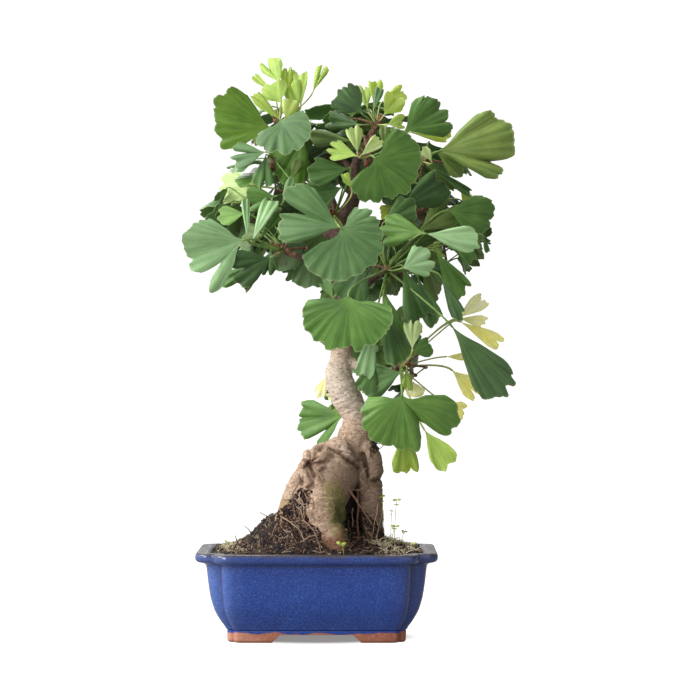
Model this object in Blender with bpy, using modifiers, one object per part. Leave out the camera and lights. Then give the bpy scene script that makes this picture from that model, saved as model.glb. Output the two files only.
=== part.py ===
"""Ginkgo bonsai in a lobed, glazed pot.

The tree is modelled about the pot's axis, +Z up, with the pot's feet on the ground, and
the whole is moved at the end so that the middle of its box stands over the origin.
Trunk and boughs are chains of named stations. The crown is a set of leaf masses. Each
mass has one stem with short spurs, and every leaf is a fan on a petiole from a spur.
The large outer leaves are placed one by one. The others grow by a seeded rule, and a
leaf that would leave its mass's space, or touch a limb or another leaf, is skipped.
"""
import math
import random

import bmesh
import bpy
import numpy as np
from mathutils import Vector
from mathutils.bvhtree import BVHTree

MM = 0.001
GAP = 0.35                     # clearance between solids that touch on the real plant

# --- pot, in millimetres ----------------------------------------------------------------
RIM_X, RIM_Y = 80.2, 59.0      # half width and half depth over the rim
RIM_TOP = 59.5                 # height of the rim
GLAZE_FOOT = 8.6               # where the glazed body ends
FOOT_HEIGHT = 5.3
FOOT_GAP_X, FOOT_GAP_Y = 24.4, 18.0     # half gaps between the feet
FOOT_CHAMFER = 5.2
# inset from the rim, height, depth of the corner lobes' notch, radius of the lobes
OUTER_WALL = ((20.6, 8.6, 4.6, 4.0), (19.7, 9.7, 4.8, 4.3), (19.2, 11.2, 5.0, 4.5),
              (15.9, 15.4, 6.0, 5.2), (12.6, 21.5, 7.2, 6.2), (10.0, 30.0, 8.6, 7.4),
              (8.6, 38.5, 9.4, 8.0), (7.7, 46.0, 10.0, 8.4), (7.2, 50.2, 10.4, 8.6),
              (5.6, 52.6, 11.2, 8.8), (0.9, 54.5, 12.6, 9.4), (0.0, 55.5, 13.0, 9.6),
              (0.0, 58.5, 13.0, 9.6), (1.0, 59.5, 12.8, 9.4))
INNER_WALL = ((8.4, 59.5, 11.0, 8.2), (9.4, 58.6, 10.8, 8.0), (10.0, 57.0, 10.6, 7.9),
              (12.6, 50.0, 9.6, 7.4),
              (14.6, 34.0, 7.8, 6.4), (18.4, 21.0, 6.2, 5.2), (23.0, 15.0, 5.0, 4.4))

# --- soil -------------------------------------------------------------------------------
SOIL_LEVEL = 58.6
SOIL_RINGS = 6                 # rings of faces from the pot's wall to the middle
SOIL_CLEARANCE = 0.5           # between the soil and the pot's inner wall
# x, y, height, spread x, spread y of each swell in the soil
SOIL_SWELLS = ((-7, -2, 24, 30, 27), (33, 2, 9.5, 20, 24), (-33, -2, 10.5, 17, 18),
               (36, 31, 5, 14, 12), (-13, 35, 4, 13, 11))

# --- trunk and boughs: x, y, z, radius of each station ----------------------------------
GROUND = 60.0                  # the trunk and its roots are cut flat here, inside the soil
TRUNK_SIDES, TRUNK_VOXEL, TRUNK_SMOOTHING, TRUNK_FACE_SHARE = 14, 1.3, 8, .0272
BOUGH_SIDES = 6
TRUNK = (
    ((18, 13, 52, 15), (20, 10, 92, 15), (24, 5, 117, 15.5), (26.5, 1, 134, 13.6),
     (26, 0, 149, 9.2), (19.5, 0, 162, 10.3), (14.6, 0, 174.5, 9.7), (16, 0, 187, 7.6),
     (17, 1, 205, 7.2), (16, 2, 232, 7.4), (15, 3, 258, 6.9), (18, 3, 280, 6.4),
     (25, 2, 298, 4.6), (25, 1, 316, 3.4), (32, -1, 331, 2.4)),
    ((22, -3, 126, 12), (5, -4, 118, 12.6), (-5, -5, 107, 11.4), (-13, -5, 96, 10),
     (-19, -7, 84, 8), (-24, -9, 70, 8), (-28, -10, 50, 8.4)),
    ((12, -8, 116, 13), (1, -10, 102, 13), (-6, -10, 88, 11), (-10, -10, 70, 10),
     (-13, -10, 50, 10)),
    ((18, -8, 118, 13), (12, -17, 104, 13.4), (6, -23, 90, 12.4), (6, -27, 78, 9.6),
     (11, -31, 66, 7.4), (14, -34, 50, 8)),
    ((30, -2, 116, 12.4), (34, -6, 100, 10.2), (36.5, -8, 84, 8), (37.5, -9, 70, 7.4),
     (40, -11, 50, 8)),
    ((12, 14, 112, 12), (0, 23, 94, 10), (-8, 30, 76, 8.4), (-14, 36, 50, 8)),
    ((27, 11, 110, 11), (31, 19, 92, 9.2), (34, 26, 74, 7.6), (37, 32, 50, 7.6)),
    ((-3, -13, 119, 6.6), (-5, -14, 116, 5.8)),
    ((2, -19, 112, 4.8), (1, -20, 110, 4.4)),
    ((-5, -18, 103, 5.6), (-6, -19, 101, 5)),
)
BOUGHS = {
    "bough_top_left": ((12, 3, 284, 4.6), (5, 2, 303, 3.6), (-7, 1, 319, 2.8), (-19, 0, 334, 2)),
    "bough_left": ((12, 1, 262, 3.6), (2, -5, 258, 3), (-7, -9, 255, 2.6), (-15, -11, 257, 2.1)),
    "bough_right": ((18, 1, 224, 4), (27, -7, 231, 3.2), (35, -11, 239, 2.7), (42, -13, 244, 2.2)),
    "bough_top_right": ((24, 2, 300, 3.6), (38, 4, 305, 3), (50, 3, 309, 2.4), (62, 0, 313, 1.9)),
    "bough_lower_right": ((17, 0, 190, 4), (29, -4, 182, 3.2), (41, -7, 179, 2.6),
                          (51, -8, 180, 2.1)),
    "bough_lower_left": ((15, 2, 178, 3.4), (13, 13, 172, 2.8), (12, 22, 168, 2)),
    "bough_back_top": ((25, 2, 312, 3), (21, 14, 319, 2.5), (14, 27, 325, 1.9)),
    "bough_back_middle": ((15, 4, 250, 3.8), (18, 20, 257, 3), (22, 34, 264, 2.1)),
    "bough_back_low": ((17, 3, 212, 3.8), (26, 18, 212, 3), (36, 30, 211, 2.1)),
    "bough_back_left": ((15, 4, 270, 3.8), (-4, 15, 278, 3), (-22, 24, 284, 2)),
    "bough_back_right": ((18, 4, 274, 3.8), (42, 14, 279, 3), (62, 23, 284, 2)),
}

# --- leaf masses ------------------------------------------------------------------------
# limb that carries it, spurs, centre and radii of its space, foremost y of the leaves that
# grow by rule, how many of them at most, seed
MASSES = {
    "foliage_top_left": ("bough_top_left", ((-26, -5, 346), (-29, -8, 322), (-19, 4, 300)),
                         (-28, 20, 330), (44, 40, 36), 4, 10, 11),
    "foliage_left": ("bough_left", ((-21, -12, 260),),
                     (-34, 18, 268), (42, 36, 28), 2, 4, 12),
    "foliage_centre": ("trunk", ((12, -14, 284), (24, -14, 256)),
                       (10, 4, 268), (38, 34, 34), -2, 0, 13),
    "foliage_top": ("trunk_tip", ((40, -6, 345), (34, -16, 322)),
                    (34, 14, 338), (44, 40, 30), 2, 8, 44),
    "foliage_top_right": ("bough_top_right", ((71, -8, 320),),
                          (76, 18, 306), (40, 40, 30), 2, 6, 15),
    "foliage_right": ("bough_right", ((47, -15, 247),),
                      (66, 14, 258), (44, 36, 36), -2, 8, 16),
    "foliage_lower_right": ("bough_lower_right", ((56, -9, 182),),
                            (58, 6, 186), (34, 30, 32), 0, 5, 17),
    "foliage_lower_left": ("bough_lower_left", ((12, 28, 165),),
                           (8, 32, 168), (30, 24, 26), 14, 0, 18),
    "foliage_back_top": ("bough_back_top", ((10, 38, 330), (36, 46, 338), (-16, 50, 318)),
                         (12, 48, 322), (62, 54, 44), 12, 20, 19),
    "foliage_back_middle": ("bough_back_middle", ((24, 44, 268), (2, 54, 254), (36, 62, 252)),
                            (18, 54, 258), (52, 50, 40), 16, 18, 20),
    "foliage_back_low": ("bough_back_low", ((42, 36, 212), (24, 44, 204)),
                         (40, 42, 208), (40, 50, 38), 8, 15, 21),
    "foliage_back_left": ("bough_back_left", ((-30, 32, 288), (-48, 44, 270)),
                          (-38, 40, 282), (46, 50, 40), 10, 16, 22),
    "foliage_back_right": ("bough_back_right", ((70, 32, 288), (86, 44, 270)),
                           (78, 38, 278), (46, 50, 42), 10, 16, 23),
}

# The large outer leaves of each mass: x, y, z of the leaf's base, the way it points as a
# clock angle seen from the front (0 up, 90 right), length, half spread of the fan, skew of
# its lobes, depth and place of its notch
LEAVES = {
    "foliage_top_left": (
        (-31, -18, 342, -79, 39, 43, .05, 0, 0), (-24, -34, 346, 152, 24, 84, .1, 0, 0),
        (-25, -5, 373, -25, 20, 32, 0, .3, -.3), (-30, -12, 367, -50, 18, 12, 0, 0, 0),
        (-21, 0, 365, 4, 20, 20, 0, .2, 0), (-11, -8, 356, -1, 26, 15, 0, 0, 0),
        (-24, -18, 358, -27, 17, 48, 0, 0, 0), (-12, -14, 356, -22, 19, 32, 0, .1, 0),
        (-21, -22, 347, 20, 15, 34, 0, 0, 0), (-24, -26, 346, -47, 25, 13, 0, 0, 0),
        (-3, -5, 367, 22, 21, 16, 0, .4, 0), (-34, -24, 325, -97, 24, 32, 0, .45, .2),
        (-34, -20, 324, -172, 23, 26, 0, .35, -.1), (-38, 22, 305, -90, 30, 34, 0, 0, 0),
        (-8, -14, 337, -152, 35, 36, 0, 0, 0), (-17, -20, 307, 20, 15, 22, 0, 0, 0),
        (-28, -6, 297, -96, 20, 34, 0, 0, 0), (-23, -16, 290, 22, 19, 15, 0, 0, 0)),
    "foliage_left": (
        (-48, -40, 266, -107, 40, 50, -.1, .45, -.55), (-48, -14, 285, -97, 19, 30, 0, 0, 0),
        (-46, -26, 267, -3, 28, 8, 0, 0, 0), (-43, -22, 266, 24, 32, 14, 0, 0, 0),
        (-39, -14, 267, 35, 24, 12, 0, 0, 0), (-30, -30, 255, -112, 29, 36, 0, .3, 0),
        (-37, -22, 252, -117, 33, 13, 0, 0, 0), (-37, -10, 249, -142, 20, 8, 0, 0, 0),
        (-31, -16, 260, -172, 17, 36, 0, .2, 0)),
    "foliage_centre": (
        (16, -62, 273, 134, 32, 100, .28, 0, 0), (16, -48, 274, -72, 43, 38, 0, .4, .05),
        (17, -34, 301, -108, 26, 36, 0, 0, 0), (22, -26, 314, -98, 28, 28, 0, 0, 0),
        (23, -44, 300, -30, 11, 24, 0, 0, 0), (33, -26, 252, -150, 31, 36, 0, 0, 0),
        (11, -14, 228, -28, 15, 22, 0, 0, 0)),
    "foliage_top": (
        (30, -14, 352, -45, 23, 46, 0, .1, .3), (34, -4, 356, -13, 18, 26, 0, .3, .1),
        (38, 4, 360, 8, 17, 24, 0, .15, 0), (38, -16, 354, 16, 16, 15, 0, 0, 0),
        (44, -2, 361, 62, 18, 26, 0, .25, -.2), (45, -12, 351, 38, 17, 40, 0, .15, 0),
        (47, -20, 344, 74, 13, 34, 0, .2, 0), (23, -22, 333, -84, 28, 17, 0, 0, 0),
        (29, -18, 344, -78, 23, 22, 0, 0, 0), (27, -48, 323, -8, 18, 24, 0, .1, 0),
        (27, -44, 321, -74, 21, 28, 0, .35, .1), (29, -46, 321, 50, 18, 20, 0, .1, 0),
        (45, -26, 328, 0, 15, 20, 0, 0, 0), (58, -20, 339, 55, 34, 40, .1, .1, 0),
        (61, -6, 341, 96, 30, 12, 0, 0, 0), (38, -60, 319, 128, 31, 96, 0, 0, 0)),
    "foliage_top_right": (
        (80, -30, 325, 82, 51, 36, 0, .15, .5), (80, -22, 325, 118, 23, 32, 0, 0, 0),
        (76, -36, 318, -28, 11, 28, 0, 0, 0), (72, -18, 320, 127, 29, 9, 0, 0, 0),
        (75, -12, 317, 123, 34, 7, 0, 0, 0)),
    "foliage_right": (
        (56, -14, 289, 62, 35, 27, 0, 0, 0), (45, -22, 279, 60, 24, 32, 0, 0, 0),
        (69, -36, 273, 51, 33, 29, 0, .32, -.1), (88, -12, 287, 99, 32, 40, 0, 0, 0),
        (72, -46, 270, 99, 35, 20, 0, 0, 0), (71, -40, 271, -84, 29, 32, 0, .1, .2),
        (91, -24, 265, 130, 19, 24, 0, .1, 0), (112, -6, 270, 164, 11, 14, 0, 0, 0),
        (56, -52, 247, 68, 22, 42, 0, .2, .1), (79, -26, 259, 146, 35, 18, 0, 0, 0),
        (82, -36, 242, 155, 32, 12, 0, 0, 0), (57, -30, 249, 160, 40, 20, 0, .15, 0),
        (67, -20, 243, 162, 35, 17, 0, 0, 0), (89, -46, 209, 140, 60, 19, 0, .1, -.2),
        (21, -66, 229, -176, 38, 80, 0, .16, 0), (45, -28, 233, 168, 41, 18, 0, 0, 0),
        (38, -44, 212, -170, 38, 13, 0, 0, 0), (45, -36, 219, 162, 37, 20, 0, 0, 0)),
    "foliage_lower_right": (
        (63, -46, 194, 2, 20, 26, 0, .2, 0), (63, -36, 192, 72, 15, 38, 0, 0, 0),
        (57, -26, 179, -106, 31, 34, 0, 0, 0),
        (39, -16, 183, -156, 20, 30, 0, 0, 0), (95, 16, 215, 54, 25, 19, 0, .15, 0),
        (96, 10, 215, 98, 19, 18, 0, 0, 0), (97, 20, 213, 118, 34, 13, 0, .1, 0),
        (91, 8, 180, 130, 28, 24, 0, .35, .2), (87, 12, 157, 122, 16, 40, 0, .1, 0),
        (60, -22, 182, 180, 16, 20, 0, 0, 0), (62, -8, 162, 48, 11, 45, 0, 0, 0),
        (87, 2, 189, 90, 14, 15, 0, 0, 0), (56, -56, 164, 178, 38, 88, -.2, .5, -.36),
        (58, -40, 141, 178, 30, 24, 0, 0, 0), (71, -46, 141, 146, 29, 25, 0, 0, 0)),
    "foliage_lower_left": (
        (18, 16, 149, -106, 33, 42, 0, .5, -.55), (6, 20, 176, -158, 16, 22, 0, 0, 0),
        (14, 14, 164, -118, 8, 30, 0, 0, 0)),
}
TILT = .5                      # how far a placed leaf may slope out of the front plane
DEPTH_TRIES = (0, -3, 3, -6, 6, -9, 9, -13, 13, -17, 17, 22, -22, 27, 33)
STALK_RADIUS = .75             # also sets how thick a leaf is at its base
STALK_STEPS = 2
TWIG_RADIUS = 1.8
SPUR_RADIUS, SPUR_LENGTH = 3.1, 8.0
RULE_TRIES = 60                # places tried for each leaf that grows by rule
RULE_PETIOLE = (14, 34)
RULE_LENGTH, RULE_SPREAD = (21, 34), (44, 78)
RULE_NOTCHES = (0, 0, .15, .3, .45)
GOLDEN_TURN = 2.4              # turn from one leaf of a spur to the next
CROWN_HEART = (20.0, 5.0, 268.0)        # leaves lean away from here
LIMB_CLEARANCE = 1.2           # between a limb and the leaves of any mass
TRUNK_SHRINK = 0.1             # a stem on the trunk begins this far within the drawn radius,
                               # because smoothing thins the trunk a little


# --- small geometry helpers ---------------------------------------------------------------
def unit(v):
    return v / np.linalg.norm(v)


def smooth(x):
    x = np.clip(x, 0, 1)
    return x * x * (3 - 2 * x)


def bezier(a, b, c, count):
    t = np.linspace(0, 1, count + 1)[:, None]
    return (1 - t) ** 2 * a + 2 * t * (1 - t) * b + t ** 2 * c


def refine(stations, steps):
    """A smooth curve through the stations, with its radius, by Catmull-Rom."""
    p = np.array(stations, float)
    ends = np.vstack((2 * p[0] - p[1], p, 2 * p[-1] - p[-2]))
    out = []
    for a, b, c, d in zip(ends, ends[1:], ends[2:], ends[3:]):
        for t in np.arange(steps) / steps:
            out.append(.5 * (2 * b + (c - a) * t + (2 * a - 5 * b + 4 * c - d) * t ** 2
                             + (3 * b - 3 * c + d - a) * t ** 3))
    return np.array(out + [p[-1]])


def tube(points, radii, sides):
    """Vertices and faces of a closed tube with flat ends."""
    tangents = np.gradient(points, axis=0)
    normal = np.cross(tangents[0], (.31, .52, .79))
    verts, faces = [], []
    for point, tangent, radius in zip(points, tangents, radii):
        tangent = unit(tangent)
        normal = unit(normal - (normal @ tangent) * tangent)
        side = np.cross(tangent, normal)
        for k in range(sides):
            a = 2 * math.pi * k / sides
            verts.append(point + radius * (math.cos(a) * normal + math.sin(a) * side))
    for ring in range(len(points) - 1):
        for k in range(sides):
            a, b = ring * sides + k, ring * sides + (k + 1) % sides
            faces.append((a, b, b + sides, a + sides))
    last = (len(points) - 1) * sides
    faces.append(tuple(reversed(range(sides))))
    faces.append(tuple(range(last, last + sides)))
    return np.array(verts), faces


# --- leaves -------------------------------------------------------------------------------
def leaf_traits(base, along, face, length, spread, skew, notch, notch_at, tilt, seed):
    rnd = random.Random(seed)
    y_axis = unit(np.array(along, float))
    z_axis = np.array(face, float)
    z_axis = unit(z_axis - (z_axis @ y_axis) * y_axis)
    return {"base": np.array(base, float), "axes": (np.cross(y_axis, z_axis), y_axis, z_axis),
            "length": length, "spread": math.radians(spread), "skew": skew, "notch": notch,
            "notch_at": notch_at, "tilt": tilt, "phases": [rnd.uniform(0, 6.28) for _ in range(4)],
            "fold": rnd.uniform(.05, .3), "droop": rnd.uniform(.05, .3)}


def blade(leaf, s, t):
    """Point of the fan: s runs -1..1 from edge to edge, t runs 0..1 from base to rim."""
    s, t = np.asarray(s, float), np.asarray(t, float)
    a, b, c, d = leaf["phases"]
    rim = 1 - .08 * s ** 2 - .22 * np.abs(s) ** 7 + .035 * np.sin(5.2 * s + a)
    rim = rim + .022 * np.sin(11 * s + b)
    rim = rim * (1 + leaf["skew"] * s) - leaf["notch"] * np.exp(-((s - leaf["notch_at"]) / .1) ** 2)
    r = leaf["length"] * rim * t
    angle = leaf["spread"] * s * (.62 + .38 * smooth(t / .55))
    x, y = r * np.sin(angle), r * np.cos(angle)
    z = leaf["fold"] * np.abs(x) - leaf["droop"] * leaf["length"] * t ** 2
    z = z + .03 * leaf["length"] * t ** 2 * np.sin(7 * s + d)
    z = z + leaf["tilt"][0] * x + leaf["tilt"][1] * y
    ax, ay, az = leaf["axes"]
    return leaf["base"] + x[..., None] * ax + y[..., None] * ay + z[..., None] * az


def stalk_path(start, leaf, count):
    into = unit(leaf["axes"][1] + leaf["tilt"][1] * leaf["axes"][2])
    reach = np.linalg.norm(leaf["base"] - start)
    return bezier(start, leaf["base"] - into * .4 * reach, leaf["base"], count)


def leaf_solid(start, leaf):
    """A three-sided stalk that opens into the fan, which thins out to a sharp rim."""
    path = stalk_path(start, leaf, STALK_STEPS)
    tangents = np.gradient(path, axis=0)
    normal, rings = leaf["axes"][2], []
    for point, tangent in zip(path[::-1], tangents[::-1]):
        tangent = unit(tangent)
        normal = unit(normal - (normal @ tangent) * tangent)
        side = np.cross(tangent, normal)
        rings.insert(0, [point + STALK_RADIUS * (math.cos(a) * normal + math.sin(a) * side)
                         for a in (0, 2.094, 4.189)])
    count = 7 if leaf["length"] > 26 else 5
    s = list(np.linspace(-1, 1, count + 1))
    if leaf["notch"] > .08:
        at = leaf["notch_at"]
        s = [v for v in s if abs(v - at) > .24] + [at - .17, at, at + .17]
    rim = blade(leaf, np.array(sorted(s)), np.ones(len(s)))
    verts = np.vstack((np.vstack(rings), rim))
    stalk = [(0, 1, 2)]
    for k in range(0, 3 * STALK_STEPS, 3):
        for i in range(3):
            j = (i + 1) % 3
            stalk.append((k + i, k + j, k + j + 3, k + i + 3))
    top, first = 3 * STALK_STEPS, 3 * STALK_STEPS + 3
    last, middle = len(verts) - 1, first + len(s) // 2
    near, far = top + 2, top + 1
    fan = [(top, k, k + 1) for k in range(first, last)]
    fan += [(near, k + 1, k) for k in range(first, middle)]
    fan += [(far, k + 1, k) for k in range(middle, last)]
    fan += [(near, middle, far), (top, near, first), (top, last, far)]
    return verts, stalk, fan


# --- growth -------------------------------------------------------------------------------
class Grown:
    """What has grown so far, each solid with its mass, its kind and its box."""

    def __init__(self):
        self.items = []

    def add(self, mass, kind, verts, faces):
        tree = BVHTree.FromPolygons([tuple(v) for v in verts], faces)
        self.items.append((mass, kind, verts.min(0), verts.max(0), tree))

    def free(self, mass, kind, verts, faces, strict):
        """No other mass is touched, nor a fan of this one."""
        low, high = verts.min(0) - .3, verts.max(0) + .3
        tree = None
        for other_mass, other_kind, a, b, other in self.items:
            fans = (kind == "fan") + (other_kind == "fan")
            if other_mass == mass and ("twig" in (kind, other_kind) or fans < 2 - strict):
                continue
            if (a > high).any() or (b < low).any():
                continue
            if tree is None:
                tree = BVHTree.FromPolygons([tuple(v) for v in verts], faces)
            if tree.overlap(other):
                return False
        return True


def stem_start(mass):
    """Where the mass's stem begins, clear of the limb that carries it, and its direction."""
    limb, spurs = MASSES[mass][0], MASSES[mass][1]
    first = np.array(spurs[0], float)
    if limb == "trunk":
        chain = refine(TRUNK[0], 4)
        k = np.linalg.norm(chain[:, :3] - first, axis=1).argmin()
        way = unit(first - chain[k, :3])
        return chain[k, :3] + way * (chain[k, 3] - TRUNK_SHRINK), way
    chain = TRUNK[0] if limb == "trunk_tip" else BOUGHS[limb]
    tip, before = np.array(chain[-1][:3], float), np.array(chain[-2][:3], float)
    way = unit(tip - before)
    return tip + way * GAP, way


def twig_solids(mass):
    """The mass's stem to its first spur, and twigs from there to its other spurs."""
    spurs = np.array(MASSES[mass][1], float)
    start, way = stem_start(mass)
    reach = np.linalg.norm(spurs[0] - start)
    path = bezier(start, start + way * reach * .5, spurs[0], 3)
    solids = [tube(path, np.linspace(TWIG_RADIUS * 1.1, TWIG_RADIUS, 4), 5)]
    for spur in spurs[1:]:
        root = path[2]
        bend = (root + spur) / 2 + unit(spur - root)[[1, 2, 0]] * 2
        solids.append(tube(bezier(root, bend, spur, 3), np.linspace(1.5, 1.2, 4), 5))
    for k, spur in enumerate(spurs):
        out = unit(spur - (path[1] if k == 0 else path[2]))
        ends = np.array((spur - out * SPUR_LENGTH * .4, spur, spur + out * SPUR_LENGTH * .6))
        solids.append(tube(ends, (SPUR_RADIUS * .8, SPUR_RADIUS, SPUR_RADIUS * .7), 7))
    return solids


def placed_leaf(row, shift, slope, seed):
    x, y, z, heading, length, spread, skew, notch, notch_at = row
    rnd = random.Random(seed)
    a = math.radians(heading)
    tilt = (rnd.uniform(-slope, slope), rnd.uniform(-slope, slope))
    return leaf_traits((x, y + shift, z), (math.sin(a), 0, math.cos(a)), (0, -1, 0), length,
                       spread, skew, notch, notch_at, tilt, seed)


def rule_leaf(spur, rnd, turn):
    """A leaf of a spur's rosette, leaning out of the crown and drooping."""
    rise = rnd.uniform(-.5, .9)
    out = unit(spur - np.array(CROWN_HEART))
    way = unit(np.array((math.cos(turn), math.sin(turn), rise)) + .7 * out)
    base = spur + way * rnd.uniform(*RULE_PETIOLE)
    along = way + np.array((0, 0, -rnd.uniform(.2, 1.1))) + rnd.uniform(-.3, .3) * out
    face = unit(np.array((0, 0, .6)) + out + .4 * np.array([rnd.uniform(-1, 1) for _ in range(3)]))
    return leaf_traits(base, along, face, rnd.uniform(*RULE_LENGTH), rnd.uniform(*RULE_SPREAD),
                       rnd.uniform(-.1, .1), rnd.choice(RULE_NOTCHES),
                       rnd.uniform(-.3, .3), (0, 0), rnd.random())


def crosses_itself(verts, faces):
    tree = BVHTree.FromPolygons([tuple(v) for v in verts], faces)
    return any(not set(faces[a]) & set(faces[b]) for a, b in tree.overlap(tree))


def try_leaf(mass, spurs, leaf, grown, strict):
    """The solid of a leaf on its nearest spur, or nothing where it would touch."""
    spur = spurs[np.linalg.norm(spurs - leaf["base"], axis=1).argmin()]
    start = spur + unit(leaf["base"] - spur) * SPUR_RADIUS * .55
    verts, stalk, fan = leaf_solid(start, leaf)
    if crosses_itself(verts, stalk + fan):
        return None
    if not grown.free(mass, "fan", verts, fan, strict):
        return None
    if not grown.free(mass, "stalk", verts, stalk, strict):
        return None
    grown.add(mass, "stalk", verts, stalk[-3:])
    grown.add(mass, "fan", verts, fan)
    return verts, stalk + fan


def grow():
    """All the masses: a list of solids for each, the stem first."""
    grown = Grown()
    for chain in TRUNK + tuple(BOUGHS.values()):
        path = refine(chain, 3)
        grown.add("limb", "limb", *tube(path[:, :3], path[:, 3] + LIMB_CLEARANCE, 8))
    solids = {mass: twig_solids(mass) for mass in MASSES}
    for mass, pieces in solids.items():
        for verts, faces in pieces:
            grown.add(mass, "twig", verts, faces)
    for mass, rows in LEAVES.items():
        spurs = np.array(MASSES[mass][1], float)
        for k, row in enumerate(rows):
            for trial, shift in enumerate(DEPTH_TRIES):
                slope = TILT * (1 - trial / len(DEPTH_TRIES))
                leaf = placed_leaf(row, shift, slope, 100 * MASSES[mass][6] + k)
                solid = try_leaf(mass, spurs, leaf, grown, False)
                if solid:
                    solids[mass].append(solid)
                    break
    for mass, (_, spurs, centre, radii, front, count, seed) in MASSES.items():
        rnd = random.Random(seed)
        spurs, centre, radii = np.array(spurs, float), np.array(centre, float), np.array(radii)
        made = 0
        for attempt in range(count * RULE_TRIES):
            if made == count:
                break
            spur = spurs[attempt % len(spurs)]
            leaf = rule_leaf(spur, rnd, GOLDEN_TURN * attempt)
            edge = blade(leaf, np.linspace(-1, 1, 7), np.ones(7))
            inside = (((edge - centre) / radii) ** 2).sum(1).max() < 1
            if not inside or edge[:, 1].min() < front or leaf["base"][1] < front:
                continue
            solid = try_leaf(mass, spurs, leaf, grown, True)
            if solid:
                solids[mass].append(solid)
                made += 1
    return solids


# --- Blender objects ----------------------------------------------------------------------
def clear_scene():
    for obj in list(bpy.data.objects):
        bpy.data.objects.remove(obj, do_unlink=True)
    for group in list(bpy.data.collections):
        bpy.data.collections.remove(group)


def new_collection(name):
    group = bpy.data.collections.new(name)
    bpy.context.scene.collection.children.link(group)
    return group


def make_material(name, colour, roughness, metallic=0.0):
    material = bpy.data.materials.new(name)
    material.use_nodes = True
    shader = material.node_tree.nodes["Principled BSDF"]
    shader.inputs["Base Color"].default_value = (*colour, 1)
    shader.inputs["Roughness"].default_value = roughness
    shader.inputs["Metallic"].default_value = metallic
    return material


def make_object(name, verts, faces, group, material=None):
    """A mesh object from millimetre vertices, its faces pointing out."""
    mesh = bpy.data.meshes.new(name)
    mesh.from_pydata([tuple(np.asarray(v) * MM) for v in verts], [], faces)
    obj = bpy.data.objects.new(name, mesh)
    group.objects.link(obj)
    if material:
        mesh.materials.append(material)
    edit = bmesh.new()
    edit.from_mesh(mesh)
    bmesh.ops.recalc_face_normals(edit, faces=edit.faces)
    edit.to_mesh(mesh)
    edit.free()
    return obj


def activate(obj):
    bpy.ops.object.select_all(action="DESELECT")
    obj.select_set(True)
    bpy.context.view_layer.objects.active = obj


def apply_modifiers(obj):
    activate(obj)
    for modifier in list(obj.modifiers):
        bpy.ops.object.modifier_apply(modifier=modifier.name)


def swollen_copy(obj, clearance, group):
    """A copy of the object, grown by the clearance, that cuts its neighbour."""
    cutter = obj.copy()
    cutter.data = obj.data.copy()
    cutter.name = obj.name + "_cutter"
    group.objects.link(cutter)
    normals = [v.normal.copy() for v in cutter.data.vertices]
    for vertex, normal in zip(cutter.data.vertices, normals):
        vertex.co += normal * clearance * MM
    cutter.hide_render = True
    cutter.display_type = "WIRE"
    return cutter


def cut_with(obj, cutter):
    modifier = obj.modifiers.new("cut", "BOOLEAN")
    modifier.operation = "DIFFERENCE"
    modifier.solver = "EXACT"
    modifier.object = cutter
    apply_modifiers(obj)
    bpy.data.objects.remove(cutter, do_unlink=True)


def open_edges(obj):
    edit = bmesh.new()
    edit.from_mesh(obj.data)
    count = sum(len(e.link_faces) != 2 for e in edit.edges)
    edit.free()
    return count


def keep_largest_body(obj):
    """Drop loose scraps and fill sealed hollows: only the largest outer skin stays."""
    edit = bmesh.new()
    edit.from_mesh(obj.data)
    bmesh.ops.triangulate(edit, faces=edit.faces)
    edit.verts.ensure_lookup_table()
    seen, islands = set(), []
    for vertex in edit.verts:
        if vertex in seen:
            continue
        island, queue = [], [vertex]
        seen.add(vertex)
        while queue:
            v = queue.pop()
            island.append(v)
            for edge in v.link_edges:
                other = edge.other_vert(v)
                if other not in seen:
                    seen.add(other)
                    queue.append(other)
        islands.append(island)
    islands.sort(key=len, reverse=True)
    for island in islands[1:]:
        bmesh.ops.delete(edit, geom=island, context="VERTS")
    edit.to_mesh(obj.data)
    edit.free()


# --- pot ----------------------------------------------------------------------------------
def lobed_outline(inset, height, notch, radius, grow_by=0.0):
    """A long rectangle and a deep one laid over each other, their corners rounded."""
    half_x, half_y = RIM_X - inset + grow_by, RIM_Y - inset + grow_by
    quarter = []
    for k in range(4):
        a = math.radians(30 * k)
        quarter.append((half_x - radius + radius * math.cos(a),
                        half_y - notch - radius + radius * math.sin(a)))
    quarter.append((half_x - notch, half_y - notch))
    for k in range(4):
        a = math.radians(30 * k)
        quarter.append((half_x - notch - radius + radius * math.cos(a),
                        half_y - radius + radius * math.sin(a)))
    ring = [(x, y) for x, y in quarter]
    ring += [(-x, y) for x, y in reversed(quarter)]
    ring += [(-x, -y) for x, y in quarter]
    ring += [(x, -y) for x, y in reversed(quarter)]
    return [(x, y, height) for x, y in ring]


def loft(rings):
    """A closed skin over rings with the same number of points."""
    count = len(rings[0])
    verts = [p for ring in rings for p in ring]
    faces = []
    for level in range(len(rings) - 1):
        for k in range(count):
            a, b = level * count + k, level * count + (k + 1) % count
            faces.append((a, b, b + count, a + count))
    last = (len(rings) - 1) * count
    faces.append(tuple(reversed(range(count))))
    faces.append(tuple(range(last, last + count)))
    return verts, faces


def build_pot(group):
    rings = [lobed_outline(*row) for row in OUTER_WALL + INNER_WALL]
    glaze = make_material("cobalt_glaze", (.02, .06, .32), .12)
    return make_object("pot", *loft(rings), group, glaze)


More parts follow.
